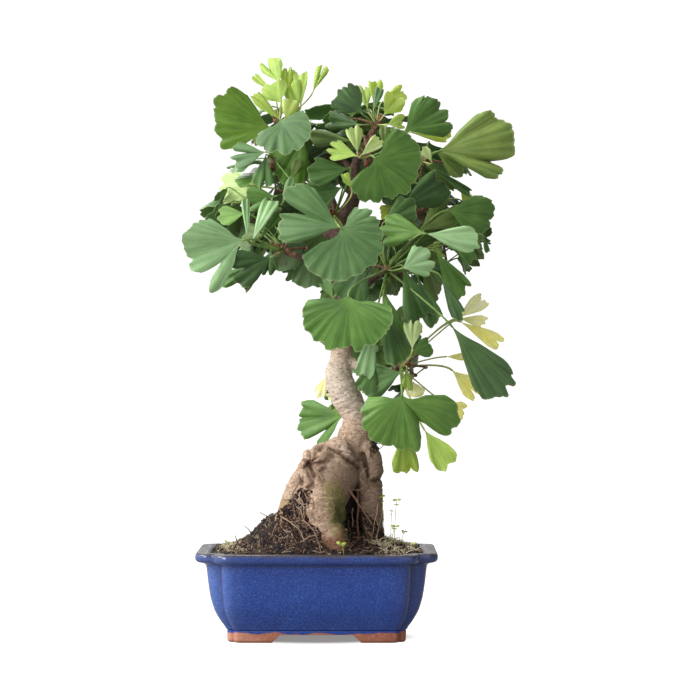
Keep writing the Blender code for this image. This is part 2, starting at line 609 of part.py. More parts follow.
def build_pot_base(group, cutters):
    """The unglazed foot: a slab on four corner feet, with channels between them."""
    inset, _, notch, radius = OUTER_WALL[0]
    rings = [lobed_outline(inset + 1.2, 0, notch, radius),
             lobed_outline(inset + .5, 1.2, notch, radius),
             lobed_outline(inset + .2, GLAZE_FOOT - GAP, notch, radius)]
    clay = make_material("bare_clay", (.42, .17, .09), .85)
    base = make_object("pot_base", *loft(rings), group, clay)
    for half, turned in ((FOOT_GAP_X, False), (FOOT_GAP_Y, True)):
        profile = ((-half - FOOT_CHAMFER - 1, -1), (half + FOOT_CHAMFER + 1, -1),
                   (half, FOOT_HEIGHT), (-half, FOOT_HEIGHT))
        rings = [[(a, reach, b) for a, b in profile] for reach in (-100, 100)]
        if turned:
            rings = [[(y, x, z) for x, y, z in ring] for ring in rings]
        channel = make_object("foot_channel", *loft(rings), cutters)
        cut_with(base, channel)
    return base


# --- soil ---------------------------------------------------------------------------------
def soil_height(x, y):
    swell = sum(h * math.exp(-((x - cx) / sx) ** 2 - ((y - cy) / sy) ** 2)
                for cx, cy, h, sx, sy in SOIL_SWELLS)
    lumps = .5 * math.sin(.31 * x + .2 * y) + .4 * math.sin(.23 * x - .37 * y + 1)
    return SOIL_LEVEL + swell + lumps


def build_soil(group, cutters, trunk):
    """The soil fills the pot up to its rim and swells round the foot of the trunk."""
    rings = [lobed_outline(*row, grow_by=-SOIL_CLEARANCE) for row in reversed(INNER_WALL[2:])]
    rings[0] = [(x, y, z + GAP) for x, y, z in rings[0]]
    top = rings.pop()
    for k in range(SOIL_RINGS):
        share = 1 - k / SOIL_RINGS
        ring = [(x * share, y * share) for x, y, _ in top]
        rings.append([(x, y, soil_height(x, y) if k else top[0][2]) for x, y in ring])
    earth = make_material("soil", (.05, .03, .02), .95)
    verts, faces = loft(rings)
    centre = len(verts)
    verts.append((0, 0, soil_height(0, 0)))
    ring_count = len(rings[0])
    cap = faces.pop()
    faces += [(cap[k], cap[(k + 1) % ring_count], centre) for k in range(ring_count)]
    soil = make_object("soil", verts, faces, group, earth)
    cut_with(soil, swollen_copy(trunk, SOIL_CLEARANCE, cutters))
    keep_largest_body(soil)
    return soil


# --- trunk and boughs ---------------------------------------------------------------------
def build_trunk(group):
    """Overlapping tapered chains, fused by a voxel remesh, smoothed and thinned."""
    bark = make_material("bark", (.55, .42, .33), .8)
    verts, faces = [], []
    for chain in TRUNK:
        path = refine(chain, 4)
        body, skin = tube(path[:, :3], path[:, 3], TRUNK_SIDES)
        faces += [tuple(i + len(verts) for i in face) for face in skin]
        verts += list(body)
    trunk = make_object("trunk", verts, faces, group, bark)
    remesh = trunk.modifiers.new("fuse", "REMESH")
    remesh.mode = "VOXEL"
    remesh.voxel_size = TRUNK_VOXEL * MM
    soften = trunk.modifiers.new("soften", "SMOOTH")
    soften.factor = .5
    soften.iterations = TRUNK_SMOOTHING
    thin = trunk.modifiers.new("thin", "DECIMATE")
    thin.ratio = TRUNK_FACE_SHARE
    apply_modifiers(trunk)
    edit = bmesh.new()
    edit.from_mesh(trunk.data)
    cut = bmesh.ops.bisect_plane(edit, geom=edit.verts[:] + edit.edges[:] + edit.faces[:],
                                 plane_co=(0, 0, GROUND * MM), plane_no=(0, 0, 1),
                                 clear_inner=True)
    rim = [g for g in cut["geom_cut"] if isinstance(g, bmesh.types.BMEdge)]
    bmesh.ops.holes_fill(edit, edges=rim, sides=0)
    bmesh.ops.triangulate(edit, faces=edit.faces)
    bmesh.ops.recalc_face_normals(edit, faces=edit.faces)
    edit.to_mesh(trunk.data)
    edit.free()
    keep_largest_body(trunk)
    return trunk


def build_boughs(group, cutters, trunk):
    wood = make_material("bough_bark", (.24, .16, .12), .8)
    for name, chain in BOUGHS.items():
        path = refine(chain, 3)
        bough = make_object(name, *tube(path[:, :3], path[:, 3], BOUGH_SIDES), group, wood)
        cut_with(bough, swollen_copy(trunk, GAP, cutters))
        keep_largest_body(bough)


# --- foliage ------------------------------------------------------------------------------
def joined_mass(mass, solids, group, material, solver):
    """The mass's stem, with its twigs and leaves joined to it by one union."""
    stem = make_object(mass, *solids[0], group, material)
    growth = new_collection(mass + "_growth")
    for k, (verts, faces) in enumerate(solids[1:]):
        make_object(f"{mass}_{k:03d}", verts, faces, growth)
    union = stem.modifiers.new("union", "BOOLEAN")
    union.operation = "UNION"
    union.solver = solver
    union.operand_type = "COLLECTION"
    union.collection = growth
    apply_modifiers(stem)
    for obj in list(growth.objects):
        bpy.data.objects.remove(obj, do_unlink=True)
    bpy.data.collections.remove(growth)
    keep_largest_body(stem)
    return stem


def build_masses(group):
    """EXACT joins each mass, or MANIFOLD where that leaves an open edge."""
    leaf_green = make_material("leaf_green", (.1, .26, .06), .45)
    for mass, solids in grow().items():
        stem = joined_mass(mass, solids, group, leaf_green, "EXACT")
        if open_edges(stem):
            bpy.data.objects.remove(stem, do_unlink=True)
            stem = joined_mass(mass, solids, group, leaf_green, "MANIFOLD")


# --- assembly -----------------------------------------------------------------------------
def centre_over_origin(group):
    """Move everything so that the middle of the box stands over the origin."""
    corners = np.array([v.co for obj in group.objects for v in obj.data.vertices])
    low, high = corners.min(0), corners.max(0)
    shift = Vector((-(low[0] + high[0]) / 2, -(low[1] + high[1]) / 2, -low[2]))
    for obj in group.objects:
        for vertex in obj.data.vertices:
            vertex.co += shift


def main():
    clear_scene()
    plant = new_collection("ginkgo_bonsai")
    cutters = new_collection("cutters")
    build_pot(plant)
    build_pot_base(plant, cutters)
    trunk = build_trunk(plant)
    build_soil(plant, cutters, trunk)
    build_boughs(plant, cutters, trunk)
    build_masses(plant)
    centre_over_origin(plant)


main()
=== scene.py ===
# %% [markdown]
# # A ginkgo bonsai in a cobalt pot
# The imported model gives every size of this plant: a lobed pot, its bare clay foot, the soil,
# a trunk with its surface roots, eleven boughs and thirteen leaf masses. This lesson dresses
# it. Each plain solid is replaced by a piece with the detail of the real thing, in the same
# place and of the same size.

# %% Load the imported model
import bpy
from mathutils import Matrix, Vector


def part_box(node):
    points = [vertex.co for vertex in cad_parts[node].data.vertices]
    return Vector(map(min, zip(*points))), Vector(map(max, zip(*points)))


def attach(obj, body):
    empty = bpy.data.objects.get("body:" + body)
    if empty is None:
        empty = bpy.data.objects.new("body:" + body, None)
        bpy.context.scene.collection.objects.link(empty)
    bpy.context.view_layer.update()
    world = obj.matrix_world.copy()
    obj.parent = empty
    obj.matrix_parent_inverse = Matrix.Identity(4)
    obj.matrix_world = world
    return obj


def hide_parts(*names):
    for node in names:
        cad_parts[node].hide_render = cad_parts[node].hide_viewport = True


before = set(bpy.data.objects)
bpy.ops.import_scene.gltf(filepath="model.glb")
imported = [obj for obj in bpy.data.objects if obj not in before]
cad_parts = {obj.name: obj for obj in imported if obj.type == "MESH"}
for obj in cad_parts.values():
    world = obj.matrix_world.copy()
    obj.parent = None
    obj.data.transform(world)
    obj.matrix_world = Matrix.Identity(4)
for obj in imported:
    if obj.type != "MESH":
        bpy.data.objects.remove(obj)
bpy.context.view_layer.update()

# %% [markdown]
# ## Units and the pot's axis
# A potter and a gardener would both measure from the middle of the pot, in millimetres. The
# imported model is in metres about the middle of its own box, so one small function carries
# points from the first to the second. The pot's box tells where its axis stands.

# %% Units and the pot's axis
import math
import random
from types import SimpleNamespace

import bmesh
import bpy
import numpy as np
from mathutils import Vector, noise
from mathutils.bvhtree import BVHTree
from mathutils.kdtree import KDTree

MM = 0.001
pot_low, pot_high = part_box("pot")
POT_AXIS = np.array(((pot_low.x + pot_high.x) / 2, (pot_low.y + pot_high.y) / 2, 0))


def to_metres(points):
    return POT_AXIS + np.asarray(points, float) * MM


print("pot axis stands at", POT_AXIS)

# %% [markdown]
# ## Short ways to write a finish
# Every finish here is one shader with a few patterns that drive its colour, its roughness and
# its fine relief. Written out in full, each would be a page of node calls. These helpers keep
# the shader and add the patterns by short names, so that a finish reads as a recipe. The sky
# is written in the same way.

# %% Finish helpers
def srgb(code):
    """A colour as seen on screen, such as d8c4a0, as the linear values that light needs."""
    parts = [int(code[k:k + 2], 16) / 255 for k in (0, 2, 4)]
    return (*[c / 12.92 if c <= .04045 else ((c + .055) / 1.055) ** 2.4 for c in parts], 1)


class Recipe:
    """A shader in its tree of nodes, and short ways to add patterns to it."""

    def __init__(self, tree, shader):
        self.tree, self.shader = tree, tree.nodes[shader]

    def set(self, **sockets):
        """Set the shader's sockets, written as Base_Color=... for Base Color."""
        for key, value in sockets.items():
            self.feed(self.shader.inputs[key.replace("_", " ")], value)

    def feed(self, socket, value):
        """Give a socket a pattern, a colour written as its code, or a plain value."""
        if isinstance(value, bpy.types.NodeSocket):
            self.tree.links.new(value, socket)
        else:
            socket.default_value = srgb(value) if isinstance(value, str) else value

    def add(self, kind, inputs, **settings):
        made = self.tree.nodes.new("ShaderNode" + kind)
        for key, value in settings.items():
            setattr(made, key, value)
        for key, value in inputs.items():
            self.feed(made.inputs[key], value)
        return made

    def place(self, scale=(1, 1, 1)):
        """Millimetres about the pot's axis, stretched by the scale."""
        where = self.add("TexCoord", {}).outputs["Object"]
        return self.add("Mapping", {"Vector": where, "Scale": [s / MM for s in scale],
                                    "Location": [-p * s / MM for p, s in zip(POT_AXIS, scale)]
                                    }).outputs[0]

    def uv(self, name, scale=(1, 1, 1)):
        where = self.add("UVMap", {}, uv_map=name).outputs[0]
        return self.add("Mapping", {"Vector": where, "Scale": scale}).outputs[0]

    def split(self, vector):
        return self.add("SeparateXYZ", {0: vector}).outputs

    def value(self, name):
        return self.add("Attribute", {}, attribute_name=name).outputs["Fac"]

    def clouds(self, vector, scale, detail=4, roughness=.55):
        return self.add("TexNoise", {"Vector": vector, "Scale": scale, "Detail": detail,
                                     "Roughness": roughness}).outputs["Fac"]

    def cells(self, vector, scale):
        return self.add("TexVoronoi", {"Vector": vector, "Scale": scale}).outputs["Distance"]

    def calc(self, operation, a, b=0.0):
        return self.add("Math", {0: a, 1: b}, operation=operation).outputs[0]

    def plus(self, a, b):
        return self.calc("ADD", a, b)

    def times(self, a, b):
        return self.calc("MULTIPLY", a, b)

    def range(self, value, low, high, start=0.0, end=1.0, **settings):
        """The value's way from low to high, as a way from start to end."""
        return self.add("MapRange", {"Value": value, "From Min": low, "From Max": high,
                                     "To Min": start, "To Max": end}, **settings).outputs["Result"]

    def wobble(self, value, pattern, reach, low=.3, high=.7):
        """The value, shifted up and down by a pattern."""
        return self.plus(value, self.range(pattern, low, high, -reach, reach))

    def band(self, value, low, high, soft):
        """1 between two bounds, with soft edges."""
        return self.times(self.range(value, low - soft, low + soft),
                          self.range(value, high + soft, high - soft))

    def mix(self, share, a, b):
        made = self.add("Mix", {"Factor": share}, data_type="RGBA", blend_type="MIX")
        self.feed(made.inputs[6], a)
        self.feed(made.inputs[7], b)
        return made.outputs[2]

    def stain(self, colour, share, code, most):
        """The colour under a stain that covers at most that share of it."""
        return self.mix(self.times(share, most), colour, code)

    def ramp(self, value, *stops):
        made = self.add("ValToRGB", {"Fac": value})
        for k, (at, code) in enumerate(stops):
            item = made.color_ramp.elements[k] if k < 2 else made.color_ramp.elements.new(at)
            item.position, item.color = at, srgb(code)
        return made.outputs["Color"]

    def relief(self, height, depth, under=None):
        """Bump of that depth in millimetres."""
        inputs = {"Height": height, "Strength": 1.0, "Distance": depth * MM}
        if under:
            inputs["Normal"] = under
        return self.add("Bump", inputs).outputs["Normal"]


class Finish(Recipe):
    """A material with one shader."""

    def __init__(self, name, **sockets):
        self.material = bpy.data.materials.new(name)
        self.material.use_nodes = True
        super().__init__(self.material.node_tree, "Principled BSDF")
        self.set(**sockets)


print("d8c4a0 on screen is this much light:", [round(part, 3) for part in srgb("d8c4a0")])

# %% [markdown]
# ## Camera, floor and light
# A long lens stands level with the middle of the crown, so the pot shows only a sliver of its
# soil. The set is a white floor under a white sky, as in a light tent. The tent is brightest
# on the left and behind, and one large lamp there gives the leaves and the glaze their shape.
# The floor glows a little, so that the plant stands on white, and round the pot its glow is
# lowered as a painted shadow under the feet.

# %% Camera
EYE = (22.1, -1700, 193.5)
LENS = 129.5
bpy.ops.object.camera_add(location=to_metres(EYE), rotation=(math.pi / 2, 0, 0))
camera = bpy.context.object
camera.data.lens = LENS
camera.data.clip_end = 50
bpy.context.scene.camera = camera
bpy.context.scene.view_settings.view_transform = "Standard"
print("the eye stands at", EYE)

# %% Sky
SKY_SEEN = 1.1                 # as the eye meets it
SKY_DIM, SKY_BRIGHT = 0.12, 1.15       # as a light, on its dark and on its bright side
BRIGHT_SIDE = (-0.74, 0.30, 0.60)      # the sky is brightest to the left, above and behind
DIM_FROM = -.6                 # cosine of the turn from the bright side beyond which it is dim
world = bpy.data.worlds.new("white_sky")
bpy.context.scene.world = world
world.use_nodes = True
sky = Recipe(world.node_tree, "Background")


def seen_by_eye(recipe, as_light, as_seen):
    """One level for the light a thing gives, and another where the eye meets it."""
    eye_ray = recipe.add("LightPath", {}).outputs["Is Camera Ray"]
    return recipe.range(eye_ray, 0, 1, as_light, as_seen)


slant = sky.add("VectorMath", {0: sky.add("TexCoord", {}).outputs["Generated"], 1: BRIGHT_SIDE},
                operation="DOT_PRODUCT").outputs["Value"]
level = sky.range(slant, DIM_FROM, 1, SKY_DIM, SKY_BRIGHT, interpolation_type="SMOOTHSTEP")
sky.set(Color=(1, 1, 1, 1), Strength=seen_by_eye(sky, level, SKY_SEEN))
print("sky:", world.name)

# %% Floor and lamps
FLOOR_RADIUS = 9               # metres
FLOOR_WHITE = 0.12
# how strongly it glows as the eye meets it, as a light, and under the pot, where the weaker glow
# is a painted shadow
FLOOR_SEEN, FLOOR_GLOW, FLOOR_UNDER = 1.0, 0.12, 0.26
# painted shadow: within this reach the floor's glow is lowered, so the shade round the pot is
# painted
SHADE_REACH = (60, 40)         # the floor glows less within this reach of the pot's axis
SHADE_EDGE = (.8, 1.15)        # where that shade begins to lift and ends, in shares of its reach
LAMP_AIM = (15, 0, 200)
# name, place in millimetres, side in metres, watts
LAMPS = (("lamp_key", (-1500, -420, 1150), 0.9, 25.5),
         ("lamp_front", (-620, -800, 330), 0.4, 4.3),
         ("lamp_fill", (900, -1200, 500), 1.4, 3.4),
         ("lamp_rear", (-200, 1300, 1250), 1.2, 16))
bpy.ops.mesh.primitive_circle_add(vertices=96, radius=FLOOR_RADIUS, fill_type="NGON")
floor = bpy.context.object
floor.name = "studio_floor"
white = Finish("studio_white", Base_Color=(*[FLOOR_WHITE] * 3, 1), Roughness=.9,
               Emission_Color=(1, 1, 1, 1))
far = white.add("VectorMath", {0: white.place((*[1 / reach for reach in SHADE_REACH], 0))},
                operation="LENGTH").outputs["Value"]
glow = seen_by_eye(white, FLOOR_GLOW, FLOOR_SEEN)
white.set(Emission_Strength=white.range(far, *SHADE_EDGE, FLOOR_UNDER, glow))
floor.data.materials.append(white.material)
for name, spot, side, watts in LAMPS:
    aim = Vector(to_metres(LAMP_AIM) - to_metres(spot))
    bpy.ops.object.light_add(type="AREA", location=to_metres(spot),
                             rotation=aim.to_track_quat("-Z", "Y").to_euler())
    lamp = bpy.context.object
    lamp.name = name
    lamp.data.size = side
    lamp.data.energy = watts
print("lamps:", len(LAMPS))

# %% [markdown]
# ## Finishing a piece
# Blender's tools act on what is selected, and every piece ends in the same way: it gets its
# name and its finishes, and the plain solid that it replaces, if any, is hidden. Short
# functions for both keep the steps below to what is special about each piece.

# %% Piece helpers
def only(obj):
    """Select this one object and make it active."""
    bpy.ops.object.select_all(action="DESELECT")
    obj.select_set(True)
    bpy.context.view_layer.objects.active = obj


def new_object(name, data):
    """An object of that mesh or curve, selected."""
    obj = bpy.data.objects.new(name, data)
    bpy.context.scene.collection.objects.link(obj)
    only(obj)
    return obj


def apply_all(obj):
    only(obj)
    for modifier in list(obj.modifiers):
        bpy.ops.object.modifier_apply(modifier=modifier.name)


def finish_piece(obj, name, finishes, slot, *nodes):
    """Name a piece, give it its finishes, and hide the plain solids that it replaces; the slot is
    not used.
    """
    obj.name = obj.data.name = name
    obj.data.materials.clear()
    for finish in finishes:
        obj.data.materials.append(finish.material)
    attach(obj, "root")
    if nodes:
        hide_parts(*nodes)
    count = sum(len(face.vertices) - 2 for face in obj.data.polygons)
    print(name, count, "triangles")


# %% [markdown]
# ## Smooth paths and tubes
# Roots, boughs, twigs and leaf stalks are all tapering tubes along a curve. Blender's curve
# objects could draw them, but the leaves have to find their places by testing what they
# touch, so the paths are also kept as plain lists of points.

# %% Smooth paths and tubes
def unit(v):
    return v / np.linalg.norm(v)


def smooth(x):
    x = np.clip(x, 0, 1)
    return x * x * (3 - 2 * x)


def bezier(a, b, c, count):
    t = np.linspace(0, 1, count + 1)[:, None]
    return (1 - t) ** 2 * a + 2 * t * (1 - t) * b + t ** 2 * c


def refine(stations, steps):
    """A smooth curve through the stations, with its radius, by Catmull-Rom."""
    p = np.array(stations, float)
    ends = np.vstack((2 * p[0] - p[1], p, 2 * p[-1] - p[-2]))
    out = []
    for a, b, c, d in zip(ends, ends[1:], ends[2:], ends[3:]):
        for t in np.arange(steps) / steps:
            out.append(.5 * (2 * b + (c - a) * t + (2 * a - 5 * b + 4 * c - d) * t ** 2
                             + (3 * b - 3 * c + d - a) * t ** 3))
    return np.array(out + [p[-1]])


def tube(points, radii, sides):
    """Vertices and faces of a closed tube with flat ends."""
    tangents = np.gradient(points, axis=0)
    normal = np.cross(tangents[0], (.31, .52, .79))
    verts, faces = [], []
    for point, tangent, radius in zip(points, tangents, radii):
        tangent = unit(tangent)
        normal = unit(normal - (normal @ tangent) * tangent)
        side = np.cross(tangent, normal)
        for k in range(sides):
            a = 2 * math.pi * k / sides
            verts.append(point + radius * (math.cos(a) * normal + math.sin(a) * side))
    for ring in range(len(points) - 1):
        for k in range(sides):
            a, b = ring * sides + k, ring * sides + (k + 1) % sides
            faces.append((a, b, b + sides, a + sides))
    last = (len(points) - 1) * sides
    faces.append(tuple(reversed(range(sides))))
    faces.append(tuple(range(last, last + sides)))
    return np.array(verts), faces


def joined_mesh(name, parts):
    """One object from many (vertices in millimetres, faces) parts, their faces outward."""
    verts, faces, first = [], [], 0
    for body, skin in parts:
        faces += [tuple(i + first for i in face) for face in skin]
        verts.append(body)
        first += len(body)
    mesh = bpy.data.meshes.new(name)
    mesh.from_pydata(to_metres(np.vstack(verts)).tolist(), [], faces)
    obj = new_object(name, mesh)
    bpy.ops.object.mode_set(mode="EDIT")
    bpy.ops.mesh.select_all(action="SELECT")
    bpy.ops.mesh.normals_make_consistent(inside=False)
    bpy.ops.object.mode_set(mode="OBJECT")
    bpy.ops.object.shade_smooth()
    return obj


print("halfway along a smooth step:", float(smooth(.5)))

# %% [markdown]
# ## The pot
# The pot is pressed in a mould: a long rectangle and a deep one laid over each other, with
# soft corners, that narrows towards its foot. It could be cut from a block with bevels, but
# every level has its own notch and its own corner, so it is made the way a potter pulls a
# wall: a ring of points is extruded again and again, laid on each level's outline, carried
# over the rim and down inside.

# %% Levels of the pot's wall
RIM_X, RIM_Y = 80.2, 59.0
# inset from the rim, height, depth of the corner notch, radius of the lobes
OUTER_WALL = ((21.4, 8.6, 4.6, 4.0), (20.2, 8.7, 4.7, 4.2), (19.5, 10.2, 4.9, 4.4),
              (17.6, 12.8, 5.5, 4.8), (15.9, 15.4, 6.0, 5.2), (12.6, 21.5, 7.2, 6.2),
              (10.0, 30.0, 8.6, 7.4), (8.6, 38.5, 9.4, 8.0), (7.7, 46.0, 10.0, 8.4),
              (7.2, 50.0, 10.4, 8.6), (6.6, 51.6, 10.8, 8.7), (4.9, 52.7, 11.4, 8.8),
              (2.0, 53.4, 12.2, 9.2), (0.6, 54.4, 12.7, 9.4), (0.0, 55.6, 13.0, 9.6),
              (0.0, 57.8, 13.0, 9.6), (0.4, 58.9, 12.9, 9.5), (1.4, 59.5, 12.8, 9.4))
INNER_WALL = ((6.6, 59.5, 11.4, 8.5), (8.4, 59.3, 11.0, 8.2), (9.4, 58.4, 10.8, 8.0),
              (10.0, 57.0, 10.6, 7.9), (12.6, 50.0, 9.6, 7.4), (14.6, 34.0, 7.8, 6.4),
              (18.4, 21.0, 6.2, 5.2), (23.0, 15.0, 5.0, 4.4))
ARC_STEPS = 9
LEVEL_STEPS = 2                # rings of points from one level to the next
POT_CREASE = 60                # a sharper turn than this, in degrees, stays a crease
VALLEY = 1.6                   # the inner corners are eased by this much at most


def lobed_outline(inset, height, notch, radius, grow_by=0.0):
    """Points round the lobed outline at one level, the same number at every level."""
    half_x, half_y = RIM_X - inset + grow_by, RIM_Y - inset + grow_by
    valley = min(VALLEY, .7 * (notch - radius))
    turns = [math.pi / 2 * k / ARC_STEPS for k in range(ARC_STEPS + 1)]
    quarter = [(half_x, share * (half_y - notch - radius)) for share in (0, .25, .5, .75)]
    quarter += [(half_x - radius + radius * math.cos(a),
                 half_y - notch - radius + radius * math.sin(a)) for a in turns]
    quarter += [(half_x - notch + valley * (1 - math.sin(a)),
                 half_y - notch + valley * (1 - math.cos(a))) for a in turns[::3]]
    quarter += [(half_x - notch - radius + radius * math.cos(a),
                 half_y - radius + radius * math.sin(a)) for a in turns]
    quarter += [(share * (half_x - notch - radius), half_y) for share in (.8, .6, .4, .2)]
    back = quarter[:0:-1]
    ring = quarter + [(0, half_y)] + [(-x, y) for x, y in back]
    ring += [(-x, -y) for x, y in quarter] + [(0, -half_y)] + [(x, -y) for x, y in back]
    return [(x, y, height) for x, y in ring]


def pulled_wall(name, rings):
    """A closed vessel: a ring of points, extruded once for each level and laid on it."""
    bpy.ops.mesh.primitive_circle_add(vertices=len(rings[0]), radius=.05)
    wall = bpy.context.object
    bpy.ops.object.mode_set(mode="EDIT")
    skin = bmesh.from_edit_mesh(wall.data)
    order = skin.verts.layers.int.new("order")
    for k, vertex in enumerate(skin.verts):
        vertex[order] = k
    bmesh.update_edit_mesh(wall.data)
    for level, ring in enumerate(rings):
        if level:
            bpy.ops.mesh.extrude_edges_move()
        skin = bmesh.from_edit_mesh(wall.data)
        order = skin.verts.layers.int["order"]
        spots = to_metres(ring)
        for vertex in skin.verts:
            if vertex.select:
                vertex.co = spots[vertex[order]]
        bmesh.update_edit_mesh(wall.data)
    bpy.ops.mesh.select_all(action="SELECT")
    bpy.ops.mesh.fill_holes(sides=0)
    bpy.ops.mesh.select_all(action="SELECT")
    bpy.ops.mesh.normals_make_consistent(inside=False)
    bpy.ops.object.mode_set(mode="OBJECT")
    wall.name = name
    return wall


pot = pulled_wall("pot_glazed", [lobed_outline(*row)
                                 for row in refine(OUTER_WALL + INNER_WALL, LEVEL_STEPS)])
bpy.ops.object.shade_smooth_by_angle(angle=math.radians(POT_CREASE))
print("pot rim is", 2 * RIM_X, "by", 2 * RIM_Y, "mm")

# %% [markdown]
# ## Cobalt glaze
# A thick glossy glaze pools in the hollows and pulls thin over edges, where the brown body
# shows through. Close up it is a fine mottle of lighter and darker blue with a few pin holes.
# The thin places could be painted, but they follow from the form, at the edges. The sharp inner
# corners are darkened towards brown as well. So the finish reads how sharply the surface turns,
# and adds clouds and speckle, with painted light on the left end and painted shade on the right.

# %% Cobalt glaze
glaze = Finish("cobalt_glaze", Coat_Roughness=.06)


def mix_glaze():
    where = glaze.place()
    x, _, height = glaze.split(where)
    mottle = glaze.clouds(where, .9, 3, .7)
    pools = glaze.clouds(glaze.place((1, 1, .45)), .045, 3)
    blue = glaze.ramp(mottle, (.34, "1d3a86"), (.5, "274b9f"), (.7, "4a6eb8"))
    blue = glaze.mix(glaze.range(pools, .35, .7, 0, .45), blue, "17348a")
    # painted light: the left end is milky and paler; painted shade: the right end is darker and
    # browner; the glaze is thinner and browner over the rim
    blue = glaze.mix(glaze.range(x, -46, -70, 0, .2), blue, "9cb2e0")
    blue = glaze.mix(glaze.range(x, 46, 70, 0, .26), blue, "4e4a52")
    blue = glaze.mix(glaze.range(height, 52.4, 53.8, 0, .3), blue, "3a3c50")
    # the brown body shows through on the lip and on edges, and the inner corners are darkened
    # towards brown
    turn = glaze.add("NewGeometry", {}).outputs["Pointiness"]
    lip = glaze.range(glaze.wobble(height, pools, .7), 57.2, 59.0)
    thin = glaze.calc("MAXIMUM", glaze.times(lip, .85),
                      glaze.times(glaze.range(turn, .515, .56), .35))
    thin = glaze.calc("MAXIMUM", thin, glaze.times(glaze.range(turn, .49, .462), .75))
    colour = glaze.mix(thin, blue, "4a4038")
    pits = glaze.range(glaze.cells(where, .16), .035, .02)
    colour = glaze.stain(colour, pits, "9fb4e0", .6)
    # the flat of the rim is worn dull
    dull = glaze.range(height, 58.3, 59.1)
    colour = glaze.stain(colour, dull, "2b2a2a", glaze.range(glaze.clouds(where, .5), .4, .6))
    worn = glaze.range(glaze.clouds(where, .35, 3), .35, .65, .2, .7)
    glaze.set(Base_Color=colour, Normal=glaze.relief(glaze.clouds(where, .12, 3, .6), 1.0),
              Roughness=glaze.plus(glaze.range(mottle, .3, .7, .09, .2), glaze.times(dull, worn)),
              Coat_Weight=glaze.range(dull, 0, 1, .6, 0))


mix_glaze()
finish_piece(pot, "pot_glazed", [glaze], "pot", "pot")

# %% [markdown]
# ## The bare foot
# The foot isn't glazed: it is the orange-brown clay itself, with edges that wear round. Its
# solid already has the right shape, so a copy of it is merged, its flat faces are joined, and
# a bevel softens every edge. Some glaze has run over its upper edge in a wavy line.

# %% The bare foot
FOOT_ROUNDING = 0.6            # width of the bevel on its edges
only(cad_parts["pot_base"])
bpy.ops.object.duplicate()
foot = bpy.context.object
for key in list(foot.keys()):
    del foot[key]
bpy.ops.object.mode_set(mode="EDIT")
bpy.ops.mesh.select_all(action="SELECT")
bpy.ops.mesh.remove_doubles(threshold=.00001)
bpy.ops.mesh.dissolve_limited(angle_limit=math.radians(3))
bpy.ops.object.mode_set(mode="OBJECT")
soften = foot.modifiers.new("soften", "BEVEL")
soften.width, soften.segments, soften.angle_limit = FOOT_ROUNDING * MM, 3, math.radians(25)
apply_all(foot)
bpy.ops.object.shade_smooth_by_angle(angle=math.radians(40))

clay = Finish("bare_clay", Roughness=.85)


def mix_clay():
    where = clay.place()
    x, _, height = clay.split(where)
    body = clay.ramp(clay.clouds(where, .35, 5, .65), (.3, "a05c48"), (.55, "b8745c"),
                     (.75, "cf9379"))
    # painted light and shade: the clay is paler towards the left end and darker towards the right
    # end
    body = clay.mix(clay.range(x, -30, -64, 0, .4), body, "e6b49c")
    body = clay.mix(clay.range(x, 20, 60, 0, .35), body, "7a3e2c")
    damp = clay.range(clay.wobble(height, clay.clouds(where, .2), 1.2, 0, 1), 2.2, .2)
    body = clay.stain(body, damp, "7a4433", .5)
    body = clay.stain(body, clay.range(clay.cells(where, 1.1), .22, .12), "e0b090", .5)
    # the wavy lower edge of the glaze, and a brown line along it
    runs = clay.range(clay.clouds(clay.place((1, 1, 0)), .045, 2), .3, .7, 4.9, 8.3)
    edge = clay.calc("SUBTRACT", height, clay.wobble(runs, clay.clouds(where, .5, 2), .3, 0, 1))
    body = clay.stain(body, clay.range(clay.calc("ABSOLUTE", edge), .9, .1), "8a5a4a", .45)
    over = clay.range(edge, -.12, .12)
    clay.set(Base_Color=clay.mix(over, body, "22459c"), Roughness=clay.range(over, 0, 1, .85, .16),
             Normal=clay.relief(clay.clouds(where, 1.4, 4, .7), .25))


mix_clay()
finish_piece(foot, "pot_bare_foot", [clay], "pot_base", "pot_base")

# %% [markdown]
# ## The plan of the tree
# The trunk, its surface roots and the boughs are chains of stations, each with its own
# radius. Each leaf mass hangs on one limb: it has a few short spurs, a space that it keeps
# to, and a number of leaves that find their own places. The big outer leaves that give the
# crown its outline are placed one by one. These are the plain numbers that the solids were
# made from, in millimetres about the pot's axis.

